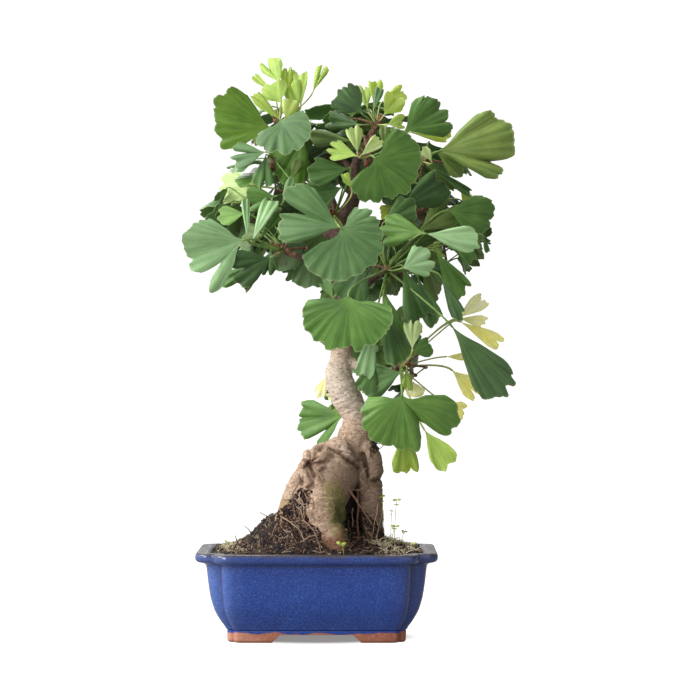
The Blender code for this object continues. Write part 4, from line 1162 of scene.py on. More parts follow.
# %% [markdown]
# ## The leaves
# Each leaf is a thin closed shell: a front and a back that follow the fan's formula, joined
# round the rim. A sheet with a Solidify modifier would do the same, but hundreds of leaves go
# into one mesh for each mass, so the shells are laid out as rows of points and joined at
# once, each with its own green.

# %% Leaf shells
COLUMN, ROWS = 1.15, 11        # millimetres across a column of faces at the rim, rows of faces
SMALL_COLUMN, SMALL_ROWS = 1.4375, 7    # the same for a small leaf
FEWEST_COLUMNS, MOST_COLUMNS = 14, 76
LEAF_THICKNESS = .42
FAN_FOOT = .02                 # the fan starts this far out, inside its stalk
MAP_STEP = 61.7                # from one leaf's streaks to the next, so that no two are alike


def leaf_shell(leaf, rows, column, offset):
    """Points, quads and both maps of one leaf."""
    columns = int(np.clip(leaf.arc / column, FEWEST_COLUMNS, MOST_COLUMNS))
    s, t = np.meshgrid(np.linspace(-1, 1, columns + 1),
                       FAN_FOOT + (1 - FAN_FOOT) * np.linspace(0, 1, rows + 1) ** .85)
    middle = blade(leaf, s, t, fine=1)
    normal = np.cross(np.gradient(middle, axis=1), np.gradient(middle, axis=0))
    normal /= np.linalg.norm(normal, axis=2)[..., None] + 1e-9
    half = (.5 * LEAF_THICKNESS * (1 - .45 * t))[..., None]
    points = np.vstack(((middle + normal * half).reshape(-1, 3),
                        (middle - normal * half).reshape(-1, 3)))
    grid = np.arange((rows + 1) * (columns + 1)).reshape(rows + 1, columns + 1)
    a, b, c, d = grid[:-1, :-1], grid[:-1, 1:], grid[1:, 1:], grid[1:, :-1]
    quads = [np.stack((a, b, c, d), -1).reshape(-1, 4),
             (np.stack((a, d, c, b), -1) + grid.size).reshape(-1, 4)]
    rim = np.concatenate((grid[0, ::-1], grid[:, 0], grid[-1], grid[::-1, -1]))
    rim = rim[np.r_[True, rim[1:] != rim[:-1]]][:-1]
    after = np.roll(rim, -1)
    quads.append(np.stack((rim, after, after + grid.size, rim + grid.size), -1))
    fan_map = np.stack((s * leaf.arc / 2 + offset, t), -1).reshape(-1, 2)
    kind = np.full((len(points), 2), (leaf.shade, 0))
    kind[grid.size:, 1] = 1
    return points, np.vstack(quads), np.vstack((fan_map, fan_map)), kind


def leaf_piece(name, leaves):
    """One mesh of all the leaves of a mass, and the number of each face's green."""
    points, quads, maps, kinds, greens, first = [], [], [], [], [], 0
    for k, (leaf, _, green) in enumerate(leaves):
        size = (SMALL_ROWS, SMALL_COLUMN) if leaf.length < SMALL_LEAF else (ROWS, COLUMN)
        spots, faces, fan_map, kind = leaf_shell(leaf, *size, MAP_STEP * k)
        points.append(spots)
        quads.append(faces + first)
        maps.append(fan_map)
        kinds.append(kind)
        greens += [list(LEAF_COLOURS).index(green)] * len(faces)
        first += len(spots)
    quads = np.vstack(quads).astype(np.int32)
    mesh = bpy.data.meshes.new(name)
    mesh.vertices.add(first)
    mesh.vertices.foreach_set("co", to_metres(np.vstack(points)).ravel())
    mesh.loops.add(quads.size)
    mesh.loops.foreach_set("vertex_index", quads.ravel())
    mesh.polygons.add(len(quads))
    mesh.polygons.foreach_set("loop_start", np.arange(len(quads), dtype=np.int32) * 4)
    mesh.update(calc_edges=True)
    for label, values in (("fan", np.vstack(maps)), ("leaf_kind", np.vstack(kinds))):
        layer = mesh.uv_layers.new(name=label)
        layer.uv.foreach_set("vector", values[quads.ravel()].astype(np.float32).ravel())
    piece = new_object(name, mesh)
    bpy.ops.object.shade_smooth_by_angle(angle=math.radians(55))
    return piece, greens


for mass, leaves in crown.items():
    piece, greens = leaf_piece(mass, leaves)
    finish_piece(piece, mass.replace("foliage", "leaves"), leaf_finishes, "leaves", mass)
    piece.data.polygons.foreach_set("material_index", greens)

# %% [markdown]
# ## Leaf stalks, spurs and shoots
# Every leaf hangs on a thin round stalk that is a little wider at both ends. The stalks rise
# from spurs, the short stubby shoots of a ginkgo, ringed with the scars of past years' leaves
# and tipped with a reddish bud. They are tubes along the same curves that the solids follow,
# only with more rings and a changing thickness.

# %% Stalks
STALK_RINGS, STALK_SIDES = 9, 6
STALK_TIP = .12
# name, finish, its dark and light green, and the leaves that hang on it
STALKS = (("stalks_dark", "stalk_green", "5c7a38", "8fae58", "dbsmyo"),
          ("stalks_gold", "stalk_gold", "a8b55e", "cfd382", "lpg"))


def stalk_tube(leaf, start):
    """The stalk, with a tighter bend than the solid's where the leaf looks back."""
    into = unit(leaf.axes[1] + leaf.tilt[1] * leaf.axes[2])
    span = leaf.base - start
    bend = .26 * np.clip(.5 + .5 * into @ unit(span), .1, 1) * np.linalg.norm(span)
    path = bezier(start, leaf.base - into * bend, leaf.base, STALK_RINGS)
    path = np.vstack((path, path[-1] + unit(path[-1] - path[-2]) * .06 * leaf.length))
    size = .62 if leaf.length > SMALL_LEAF else .46
    radii = size * (1 + .55 * np.exp(-np.linspace(0, 9, len(path)))
                    + .25 * np.linspace(0, 1, len(path)))
    radii[-1] = STALK_TIP
    return tube(path, radii, STALK_SIDES)


def grained(name, roughness, grain, stops, bumps, depth, tint_reach=0, stretch=(1, 1, 1)):
    """A finish of one grain: clouds pick its colours, and finer ones give its relief. With a
    reach, the clouds only shift the tint that each part of the piece has of its own."""
    made = Finish(name, Roughness=roughness)
    where = made.place(stretch)
    tone = made.clouds(where, *grain)
    if tint_reach:
        tone = made.wobble(made.value("tint"), tone, tint_reach)
    made.colour = made.ramp(tone, *stops)
    made.set(Base_Color=made.colour, Normal=made.relief(made.clouds(where, *bumps), depth))
    return made


for name, finish, dark, light, letters in STALKS:
    tubes = [stalk_tube(leaf, start) for leaves in crown.values() for leaf, start, green in leaves
             if green in letters]
    skin = grained(finish, .42, (.3, 3), ((.3, dark), (.7, light)), (2.2, 2), .1,
                   stretch=(1, 1, .4))
    finish_piece(joined_mesh("stalks", tubes), name, [skin], "leaves")

# %% Spurs, twigs and shoots
SPUR_RINGS, SPUR_SIDES, BUD_SCALES = 15, 14, 7
TWIG_STEPS = 14


def spur_tube(centre, out, seed):
    """A short shoot: ringed, a little swollen, and ending in a blunt bud."""
    rnd = random.Random(seed)
    u = np.linspace(-.4, .62, SPUR_RINGS)
    points = centre + out * SPUR_LENGTH * u[:, None]
    radii = SPUR_RADIUS * (.9 + .1 * np.sin(u * 26 + rnd.uniform(0, 6)))
    radii *= 1 - .35 * smooth((u - .3) / .32) - .25 * smooth((-.15 - u) / .25)
    radii[-1] *= .45
    return tube(points, radii, SPUR_SIDES)


def bud_scales(centre, out, seed):
    """Pointed scales round the tip of a spur."""
    rnd, scales = random.Random(seed), []
    side = unit(np.cross(out, (.2, .9, .3)))
    for k in range(BUD_SCALES):
        a = GOLDEN_TURN * k
        way = unit(out + .55 * (math.cos(a) * side + math.sin(a) * np.cross(out, side)))
        root = centre + out * SPUR_LENGTH * .5 + way * .4
        tip = root + way * rnd.uniform(2.2, 3.6) + out * .8
        scales.append(tube(bezier(root, (root + tip) / 2 + way * .3, tip, 4),
                           np.array((.9, 1.05, .85, .5, .08)), 6))
    return scales


def twigs_of(mass):
    """The stem, the twigs to the other spurs, and the spurs with their buds."""
    stem, fork, twigs = twig_curves(mass, TWIG_STEPS, 1.2)
    knots = 1 + .09 * np.sin(np.linspace(0, 17, TWIG_STEPS + 1) + len(mass))
    taper = np.linspace(TWIG_RADIUS * 1.15, TWIG_RADIUS, TWIG_STEPS + 1)
    wood, buds = [tube(stem, taper * knots, 12)], []
    wood += [tube(twig, np.linspace(*FORK_RADII, TWIG_STEPS + 1) * knots, 10) for twig in twigs]
    for k, spur in enumerate(SPURS[mass]):
        out = unit(spur - (fork if k else stem[5]))
        wood.append(spur_tube(spur, out, 31 * k + len(mass)))
        buds += bud_scales(spur, out, 7 * k + len(mass))
    return wood, buds


wood, buds = [], []
for mass in MASSES:
    more_wood, more_buds = twigs_of(mass)
    wood += more_wood
    buds += more_buds
for path in shoots:
    fine = bezier(path[0], 2 * path[1:3].mean(0) - (path[0] + path[-1]) / 2, path[-1], 8)
    wood.append(tube(fine, np.linspace(*SHOOT_RADIUS, 9), 8))
    wood.append(tube(path[-1] + unit(path[-1] - path[-2]) * np.array((-.8, 0, .9, 1.6))[:, None],
                     np.array((.9, 1.35, 1.2, .3)), 9))

twig_bark = grained("twig_bark", .72, (.5, 4, .65),
                    ((.3, "4a3226"), (.5, "7c5a44"), (.72, "b08c6e")), (1.1, 4), .4)
bud_red = grained("bud_scales", .5, (.6, 3), ((.35, "6a2d22"), (.65, "a35a44")), (1.5,), .2)
finish_piece(joined_mesh("twigs", wood), "twigs_and_spurs", [twig_bark], "bark")
finish_piece(joined_mesh("buds", buds), "buds", [bud_red], "bark")

# %% [markdown]
# ## Trunk, roots and boughs
# The trunk stands on old roots that have been lifted out of the soil and have grown together
# into a wrinkled foot with knobs and a burl. Sculpting would be the usual way. Here each
# root and bough is drawn as a curve with its own thickness at every station, all the curves
# are made one skin by a voxel remesh, and the skin is smoothed until the joints flow.

# %% Limbs as curves, fused into one skin
BARK_VOXEL, BARK_SMOOTHING = 0.8, 10
BARK_STEPS = 6                 # points from one station of a limb to the next
SOIL_CUT = 57.0                # the roots end flat here, below the soil's surface
# smaller limbs that have grown into the trunk: ridges round the burl, a hanging tongue, the
# short arm on the right, and the swellings of the front root
SWELLINGS = (
    ((-5, -17, 118.6, 2.4), (-6.6, -14.5, 121.6, 2.8), (-6.4, -8, 124, 3.4)),
    ((-3, -19, 119.4, 2.4), (-2, -17, 124, 3.2), (1, -9, 127, 4)),
    ((-1, -19.5, 118.6, 2.6), (3.6, -20, 122.6, 3.4), (8, -17, 125, 4)),
    ((-7.4, -17, 116.6, 2.4), (-9, -12, 118, 3)),
    ((-8, -17, 113.4, 2.4), (-11, -14.6, 110, 3.2), (-13, -11, 106, 3.8)),
    ((3.4, -21.5, 115, 3.6), (4.2, -22.8, 113.6, 3.9)),
    ((-8.6, -20.5, 112.5, 2.3), (-8, -22.6, 108, 3), (-4.6, -24, 103.4, 4.1)),
    ((4, -24, 108, 2.6), (8, -26, 103, 4), (13, -24.5, 98, 4.4)),
    ((31, -5, 131, 6.4), (36.6, -8.5, 122.5, 6), (39.8, -9.4, 113.5, 5), (40.2, -9.4, 109.4, 4.4)),
    ((5, -27, 84, 10.4), (9, -29.5, 75, 9.2), (13.2, -32, 67, 8.6), (16, -34, 57, 8)),
    ((-2, -27, 88, 5), (-1.4, -28, 83, 4.2)), ((16, -27, 88, 3.4), (17.4, -26, 80, 3)),
)


def limb_curve(stations, number):
    curve = bpy.data.curves.new(f"limb_{number}", "CURVE")
    curve.dimensions, curve.use_fill_caps = "3D", True
    curve.bevel_depth, curve.bevel_resolution = MM, 6
    path = refine(stations, BARK_STEPS)
    line = curve.splines.new("POLY")
    line.points.add(len(path) - 1)
    for point, row in zip(line.points, path):
        point.co, point.radius = (*to_metres(row[:3]), 1), row[3]
    return new_object(curve.name, curve)


limbs = [limb_curve(stations, number)
         for number, stations in enumerate(TRUNK + tuple(BOUGHS.values()) + SWELLINGS)]
for limb in limbs:
    limb.select_set(True)
bpy.ops.object.convert(target="MESH")
bpy.ops.object.join()
bark = bpy.context.object
bpy.ops.object.transform_apply()
fuse = bark.modifiers.new("fuse", "REMESH")
fuse.mode, fuse.voxel_size = "VOXEL", BARK_VOXEL * MM
flow = bark.modifiers.new("flow", "SMOOTH")
flow.factor, flow.iterations = .5, BARK_SMOOTHING
apply_all(bark)
bpy.ops.object.mode_set(mode="EDIT")
bpy.ops.mesh.select_all(action="SELECT")
bpy.ops.mesh.bisect(plane_co=(0, 0, SOIL_CUT * MM), plane_no=(0, 0, 1), use_fill=True,
                    clear_inner=True)
bpy.ops.object.mode_set(mode="OBJECT")
print("bark skin:", len(bark.data.vertices), "points")

# %% [markdown]
# ## Bark relief
# Ginkgo bark on a young lifted root is thin and pale. It gathers in fine wrinkles across the
# limb where the wood has bent, and laps over itself along a few folds that run out from the
# burl. A sculptor would brush these in. Here the skin is moved in and out along its normals:
# wrinkles run across whichever limb is nearest, and folds follow drawn lines. How deep each
# point lies is kept, so that painted shade can darken the folds and the sunken parts.

# %% Bark relief
# folds on the front: start x, z, end x, z, half width, depth, and how far the wood above the
# fold laps over it
FOLDS = ((7.5, 128.4, 14.1, 125.9, 1.1, 1.5, .7), (14.1, 125.9, 19.8, 121.4, 1.1, 1.9, 1.1),
         (19.8, 121.4, 25.8, 118, 1.2, 2.0, 1.0), (25.8, 118, 28.6, 113, 1.2, 1.6, .5),
         (30.6, 124.6, 33.2, 116.5, 1.4, 2.4, .6), (33.2, 116.5, 34.6, 107.6, 1.4, 2.4, .4),
         (-6, 118.2, -9.4, 120.2, .9, 1.4, 0), (-5, 119, -5.3, 125.5, .9, 1.6, 0),
         (-3.6, 118.6, .6, 123.2, .9, 1.6, 0), (-3, 117, 3, 118.8, .9, 1.3, 0),
         (-4.6, 115, -1.4, 108.6, 1, 1.7, 0), (-7, 115.5, -11.4, 114.2, .9, 1.4, 0),
         (-9.6, 110, -10.6, 102.4, 1, 1.5, .3), (.6, 109.6, 4.6, 105.2, .9, 1.3, .2),
         (-18.6, 91, -13, 97.4, 1, .8, .2), (3, 98, 9.4, 96.4, 1, .7, .2),
         (33.4, 105.4, 44, 106.6, 1.3, 1.5, .4), (-4, 84.6, -1.2, 79.4, 1.2, 1.1, 0),
         (10.6, 168.6, 23, 166.4, .8, .5, .3), (18.6, 154.6, 33.5, 152.8, .8, .5, .2),
         (17.4, 146.8, 27, 145.8, .8, .45, .2), (12, 136, 24, 132.2, .9, .5, .2))
FRONT_DEPTH = 3                # y behind which no fold is carved
FADE = 2                       # the relief fades out over this height above the soil's cut
BURL = (-5.3, 116.6, 2.0, 2.6)         # x, z, radius and depth of the pit in the burl
WRINKLE, LUMP, GRAIN = .42, .6, .2      # heights of the wrinkles, the lumps and the grain
print("folds:", len(FOLDS))

# %% Wrinkles and folds
def limb_stations():
    """Points along every limb with the limb's direction and radius there."""
    rows = []
    for chain in TRUNK + tuple(BOUGHS.values()):
        path = refine(chain, 5)
        ways = np.gradient(path[:, :3], axis=0)
        rows += [(*p[:3], *unit(w), p[3]) for p, w in zip(path, ways)]
    return np.array(rows)


def folds_at(spot):
    """How deep the folds are at a point, and how far the wood beside them laps over."""
    fold, rise, bend = 0.0, 0.0, .8 * noise.noise(spot * .35)
    for x0, z0, x1, z1, width, depth, lap in FOLDS:
        dx, dz = x1 - x0, z1 - z0
        reach = math.hypot(dx, dz)
        t = ((spot[0] - x0) * dx + (spot[2] - z0) * dz) / reach ** 2
        ends = min(max(4 * (t + .12), 0), 1) * min(max(4 * (1.12 - t), 0), 1)
        off = ((spot[2] - z0) * dx - (spot[0] - x0) * dz) / reach * math.copysign(1, dx) + bend
        fold += depth * ends * math.exp(-(off / width) ** 2)
        if off > 0:
            rise += lap * ends * math.exp(-((off - 2 * width) / (2.2 * width)) ** 2)
    x, z, radius, depth = BURL
    return fold + depth * math.exp(-(math.hypot(spot[0] - x, spot[2] - z) / radius) ** 2), rise


def bark_relief(spot, station):
    """How far the bark stands out at a point, and how much of that is fold."""
    way, radius = station[3:6], station[6]
    # patterns that are squeezed along the limb read as wrinkles across it
    along = spot @ way
    across = spot - along * way
    twisted = across * .055 + way * along * .30
    rough = noise.fractal(twisted, .9, 2.1, 3)
    crease = -abs(noise.noise(twisted * 1.7 + (7, 3, 1))) * 1.7 + .45
    lumps = noise.fractal(spot * .07, .8, 2, 2)
    grain = noise.fractal(spot * .55, .7, 2.2, 3)
    height = min(radius / 9, 1.15) * (WRINKLE * (.6 * rough + crease) + LUMP * lumps)
    fold, rise = folds_at(spot) if spot[1] < FRONT_DEPTH else (0, 0)
    return height + GRAIN * grain + rise - fold, fold


print("places along the limbs:", len(limb_stations()))

# %% Carving the skin
def carve_bark():
    count = len(bark.data.vertices)
    flat = np.empty(count * 3)
    bark.data.vertices.foreach_get("co", flat)
    spots = (flat.reshape(-1, 3) - POT_AXIS) / MM
    bark.data.vertices.foreach_get("normal", flat)
    normals = flat.reshape(-1, 3)
    rows = limb_stations()
    nearest = KDTree(len(rows))
    for k, row in enumerate(rows):
        nearest.insert(row[:3], k)
    nearest.balance()
    depth = np.zeros((count, 2))
    for k, spot in enumerate(spots):
        depth[k] = bark_relief(spot, rows[nearest.find(spot)[1]])
    keep = smooth((spots[:, 2] - SOIL_CUT) / FADE)
    moved = spots + normals * (depth[:, 0] * keep)[:, None]
    bark.data.vertices.foreach_set("co", to_metres(moved).ravel())
    for label, values in (("bark_height", depth[:, 0]), ("bark_fold", depth[:, 1])):
        bark.data.attributes.new(label, "FLOAT", "POINT").data.foreach_set("value", values)
    bark.data.update()


carve_bark()
bpy.ops.object.shade_smooth()
print("carved", len(bark.data.vertices), "points")

# %% [markdown]
# ## Bark finish
# The lifted roots are pale beige with dark flecks, and green with algae where water runs down
# the front root. Painted shade darkens every fold, the sunken parts of the relief, the right
# side, the knuckles and the hollow under the arch, and painted light pales the neck. Higher
# up, among the leaves, the wood turns a dark purplish brown. Earth has splashed the feet of
# the roots.

# %% Bark finish
skin = Finish("pale_bark", Roughness=.78)


def dark_flecks(scale, reach, seed):
    """Short dark dashes across the limb, thick in some places and missing in others."""
    spots = skin.range(skin.cells(skin.place((1, 1, 1.7)), scale), reach, reach * .55)
    broken = skin.clouds(skin.place(), .13 + seed * .07, 4, .7)
    return skin.times(spots, skin.range(broken, .4, .55))


def mix_bark():
    both, stain = skin.times, skin.stain
    where = skin.place()
    x, y, z = skin.split(where)
    height, fold = skin.value("bark_height"), skin.value("bark_fold")
    grain = skin.clouds(skin.place((1, 1, 1.8)), .35, 6, .7)
    broad = skin.clouds(where, .05, 4, .6)
    ragged = skin.clouds(where, .16, 5, .7)
    # painted shade and light: the tone is darker where the bark sinks and paler where it stands
    # out
    tone = skin.plus(skin.range(grain, .3, .7, .1, .9), skin.range(height, -1.2, 1.0, -.34, .28))
    colour = skin.ramp(tone, (.05, "7d614c"), (.42, "b2947b"), (.68, "cfb59d"), (1, "eadaca"))
    colour = stain(colour, skin.range(broad, .45, .75), "a98a75", .5)
    # painted light: the neck is made paler, to lift the shade that the leaves above cast on it
    colour = stain(colour, skin.band(z, 150, 188, 8), "f6e8d6", .55)
    # painted shade: darker brown on the right, under the neck and down the right arm and root
    side = skin.range(skin.wobble(x, broad, 9), -6, 20)
    colour = stain(colour, both(side, skin.range(z, 146, 118)), "6d5644", .68)
    # algae run down the right of the front root, moss where it stays wet
    slant = skin.wobble(skin.plus(x, skin.times(z, .26)), ragged, 4)
    front = both(skin.range(y, -8, -16), skin.band(z, 60, 108, 4))
    colour = stain(colour, both(front, skin.band(slant, 31.5, 43, 3)), "77702f", .8)
    wet = both(skin.band(slant, 34.5, 41, 1.4), skin.band(z, 70, 92, 5))
    colour = stain(colour, both(front, wet), "434a17", .85)
    # rusty where the front root and the left one enter the soil
    foot = skin.wobble(z, ragged, 6)
    rust = both(skin.range(foot, 76, 66), skin.range(y, -18, -26))
    colour = stain(colour, rust, "8a4f26", .75)
    left = both(skin.range(x, -10, -18), skin.range(foot, 97, 89))
    colour = stain(colour, both(left, skin.range(grain, .4, .6)), "96803a", .7)
    colour = stain(colour, both(left, skin.range(ragged, .52, .6)), "a3612c", .7)
    # painted shade: brown between the knuckles at the top of the front root; dark flecks and pale
    # flakes all over
    knuckle_shade = both(skin.band(x, 0, 15, 4), both(skin.band(z, 103, 118, 4), skin.range(y, 0, -8)))
    colour = stain(colour, knuckle_shade, "6d5644", .6)
    flecks = skin.calc("MAXIMUM", dark_flecks(.3, .24, 0), dark_flecks(.62, .3, 1))
    colour = stain(colour, flecks, "35261c", .82)
    flakes = skin.range(skin.cells(skin.place((1, 1, 1.3)), .19), .12, .07)
    colour = stain(colour, both(flakes, skin.range(ragged, .45, .55)), "f3e6d4", .7)
    # painted shade: the folds are darkened by their depth
    colour = stain(colour, skin.range(fold, .45, 2.2), "3e2c20", .88)
    # painted shade: the hollow under the arch is darkened
    hollow = both(skin.band(x, 17.4, 28.6, 1.2),
                  both(skin.band(z, 50, 106, 3), skin.band(y, -18, 9, 3)))
    colour = stain(colour, hollow, "1d1511", .74)
    # among the leaves the wood is dark, and at the soil it is splashed and damp
    upper = skin.range(skin.wobble(z, broad, 10), 202, 232)
    dark = skin.ramp(tone, (.1, "33231f"), (.5, "5e463c"), (.9, "8a6c5c"))
    colour = skin.mix(upper, colour, dark)
    colour = stain(colour, skin.range(skin.wobble(z, grain, 8), 73, 60), "3a2a20", .6)
    damp = both(skin.range(x, 24, 31), skin.range(foot, 86, 70))
    colour = stain(colour, damp, "35271f", .6)
    fine = skin.relief(skin.clouds(skin.place((.6, .6, 2)), .8, 5, .7), .7)
    fine = skin.relief(skin.clouds(where, 1.8, 3, .6), .22, fine)
    fine = skin.relief(skin.calc("SUBTRACT", 1, flecks), .3, fine)
    skin.set(Base_Color=colour, Normal=fine, Roughness=skin.range(grain, .3, .7, .66, .88))


mix_bark()
finish_piece(bark, "trunk_and_boughs", [skin], "bark", "trunk", *BOUGHS)

# %% [markdown]
# ## Soil
# The pot is filled to its rim with composted bark and peat, heaped against the roots. Seen
# close, it is crumbs and chips with red-brown fibres between them, fine pale roots, a little
# moss and grit. A particle system would scatter them. Here the surface is pulled like the
# pot's wall, ring by ring to the middle, and the crumbs are copies of one small lump.

# %% Soil surface
SOIL_LEVEL = 58.6
SOIL_CLEARANCE = 0.5           # between the soil and the pot's inner wall
# x, y, height, spread x, spread y of each swell in the soil
SOIL_SWELLS = ((-7, -2, 24, 30, 27), (33, 2, 9.5, 20, 24), (-33, -2, 10.5, 17, 18),
               (36, 31, 5, 14, 12), (-13, 35, 4, 13, 11))
SOIL_RINGS = 44
SOIL_HUB = 0.015               # the last ring's share of the way out from the middle
SOIL_EDGE = 0.07               # share of the way to the middle over which the edge rises
SOIL_LIP = 57.2


def soil_height(x, y):
    swell = sum(h * math.exp(-((x - cx) / sx) ** 2 - ((y - cy) / sy) ** 2)
                for cx, cy, h, sx, sy in SOIL_SWELLS)
    lumps = .5 * math.sin(.31 * x + .2 * y) + .4 * math.sin(.23 * x - .37 * y + 1)
    return SOIL_LEVEL + swell + lumps


def crumbly(x, y):
    """The height with the small unevenness of crumbs."""
    spot = Vector((x, y, 0))
    rough = noise.fractal(spot * .22, .9, 2.1, 3) + .7 * noise.noise(spot * .8)
    return soil_height(x, y) + .8 * rough


def soil_rings():
    rings = [lobed_outline(*row, grow_by=-SOIL_CLEARANCE) for row in reversed(INNER_WALL[2:])]
    top = rings.pop()
    for k in range(SOIL_RINGS):
        share = 1 - (1 - SOIL_HUB) * k / SOIL_RINGS
        rise = float(smooth((1 - share) / SOIL_EDGE))
        rings.append([(x * share, y * share,
                       SOIL_LIP + rise * (crumbly(x * share, y * share) - SOIL_LIP))
                      for x, y, _ in top])
    return rings


ground = pulled_wall("soil", soil_rings())
bpy.ops.object.shade_smooth()
print("soil surface:", len(ground.data.vertices), "points")

# %% Crumbs, chips and grit
CRUMBS, CRUMB_SIZE = 5200, (.45, 1.9)
CRUMB_EDGE = 1.6               # crumbs keep this far from the pot's wall
SOIL_BOUND = [(x, y) for x, y, _ in lobed_outline(*INNER_WALL[2], grow_by=-CRUMB_EDGE)]
# a few of the crumbs below this size are pale grit: that size, their share and their tint
GRIT_SIZE, GRIT_SHARE, GRIT_TINT = .6, .08, 1.3


def random_inside(rnd, outline):
    """A random point inside a closed outline."""
    (low_a, low_b), (high_a, high_b) = np.min(outline, 0), np.max(outline, 0)
    while True:
        a, b, inside = rnd.uniform(low_a, high_a), rnd.uniform(low_b, high_b), False
        for (ca, cb), (da, db) in zip(outline, outline[1:] + outline[:1]):
            if (cb > b) != (db > b) and a < ca + (b - cb) / (db - cb) * (da - ca):
                inside = not inside
        if inside:
            return a, b


def on_soil(rnd):
    """A random point of the soil's surface, well inside the pot's wall."""
    x, y = random_inside(rnd, SOIL_BOUND)
    return np.array((x, y, crumbly(x, y)))


def turn_about(axis, angle):
    x, y, z = axis
    c, s = math.cos(angle), math.sin(angle)
    cross = np.array(((0, -z, y), (z, 0, -x), (-y, x, 0)))
    return c * np.eye(3) + s * cross + (1 - c) * np.outer(axis, axis)


def lump_shape():
    """One lump of twenty faces, taken from a sphere primitive."""
    bpy.ops.mesh.primitive_ico_sphere_add(subdivisions=1, radius=1)
    lump = bpy.context.object
    verts = np.array([tuple(v.co) for v in lump.data.vertices])
    faces = [tuple(p.vertices) for p in lump.data.polygons]
    bpy.data.objects.remove(lump)
    return verts, faces


def tinted_mesh(name, pairs):
    """One mesh of many parts, each paired with its own tint, which its finish reads."""
    obj = joined_mesh(name, [part for part, _ in pairs])
    values = np.repeat([float(tint) for _, tint in pairs], [len(part[0]) for part, _ in pairs])
    obj.data.attributes.new("tint", "FLOAT", "POINT").data.foreach_set("value", values)
    return obj


print("the soil's bound has", len(SOIL_BOUND), "points")

# %% Crumbs on the soil and between the roots
# earth that still clings between the roots: its outline as seen from the front, x and z, how
# many crumbs and how many fine roots
CLINGING = (
    (((-10.5, 101), (-2.5, 99.5), (-5.5, 90.5), (-9, 85), (-5, 79), (1.8, 75), (5, 66),
      (-30, 62), (-27, 84), (-17, 93)), 1300, 80),
    (((30, 88), (40, 78), (44, 72), (44.5, 60), (24, 60), (26, 76)), 420, 30),
    (((19, 84), (28, 84), (28, 60), (19, 60)), 160, 8),
    (((36, 133), (41, 132), (41.5, 127), (38, 125)), 60, 4),
)
FRONT_EYE = -120               # y of the plane from which rays look for the bark


def front_of(x, z):
    """How far forward the bark or the soil stands at a place seen from the front."""
    eye = Vector(to_metres((x, FRONT_EYE, z)))
    hits = [piece.ray_cast(eye, (0, 1, 0)) for piece in (bark, ground)]
    return min([spot.y / MM - POT_AXIS[1] / MM for found, spot, *_ in hits if found], default=None)


def one_crumb(rnd, lump, faces, spot, power):
    """A lump, warped, flattened and turned, and its tint."""
    size = CRUMB_SIZE[0] + (CRUMB_SIZE[1] - CRUMB_SIZE[0]) * rnd.random() ** power
    shape = np.array((1, rnd.uniform(.45, .9), rnd.uniform(.3, .75)))
    warp = 1 + .25 * np.array([rnd.uniform(-1, 1) for _ in lump])[:, None]
    axis = unit(np.array([rnd.gauss(0, 1) for _ in range(3)]))
    turned = lump * warp * shape * size @ turn_about(axis, rnd.uniform(0, 6)).T
    plain = size > GRIT_SIZE or rnd.random() > GRIT_SHARE
    return (turned + spot, faces), rnd.random() if plain else GRIT_TINT


def scatter_crumbs():
    rnd = random.Random(61)
    lump, faces = lump_shape()
    spots = [(on_soil(rnd) + (0, 0, .15), 3) for _ in range(CRUMBS)]
    for outline, count, _ in CLINGING:
        for _ in range(count):
            x, z = random_inside(rnd, outline)
            y = front_of(x, z)
            if y is not None:
                spots.append((np.array((x, y - .1, z)), 1.4))
    return tinted_mesh("crumbs", [one_crumb(rnd, lump, faces, *spot) for spot in spots])


crumbs = scatter_crumbs()
bpy.ops.object.shade_flat()
print("crumbs:", len(crumbs.data.polygons) // 20)

# %% [markdown]
# ## Fibres, fine roots and moss
# Old fibres lie over the crumbs in every direction, pale fine roots hang under the burl and
# in the hollow between the two front roots, wiry dead moss stands along the rim, and a few
# weeds have come up. All are thin tubes of a few sides. Those with a place of their own are
# given by how they look from the front, x and z, and how far forward they lie.

# %% Places of the fine roots, moss and weeds
FIBRES, DRY_MOSS, GREEN_MOSS = 680, 240, 420
FIBRE_BOUND = (67, 46)         # half the size of the ground that fibres keep to
# kinds of tuft: blades, how widely they stand, their radius, spans of their height, curl and
# tint, and half the size of the ground that they keep to
DRY_TUFT = (5, 1.1, .16, (2, 5), (.2, .9), (.7, 1), (68, 47))
GREEN_TUFT = (5, 1.1, .24, (1, 2.2), (.2, .9), (0, .35), (68, 47))
WIRY_TUFT = (4, .8, .24, (2.5, 7.5), (.2, 1.1), (.85, 1.3), (RIM_X, RIM_Y))
ROOT_STEP, ROOT_FLOOR = 2.6, 61         # a clinging root's step, and the height where it ends
# patches of dead wiry moss: an outline as seen from above, and how many tufts
WIRY_PATCHES = ((((44, -43), (64, -41), (68, -24), (68, 30), (50, 34), (46, -10)), 56),
                (((36, -22), (45, -24), (47, -8), (42, 4)), 26),
                (((-67, -26), (-48, -40), (-50, -18), (-60, 10)), 16))
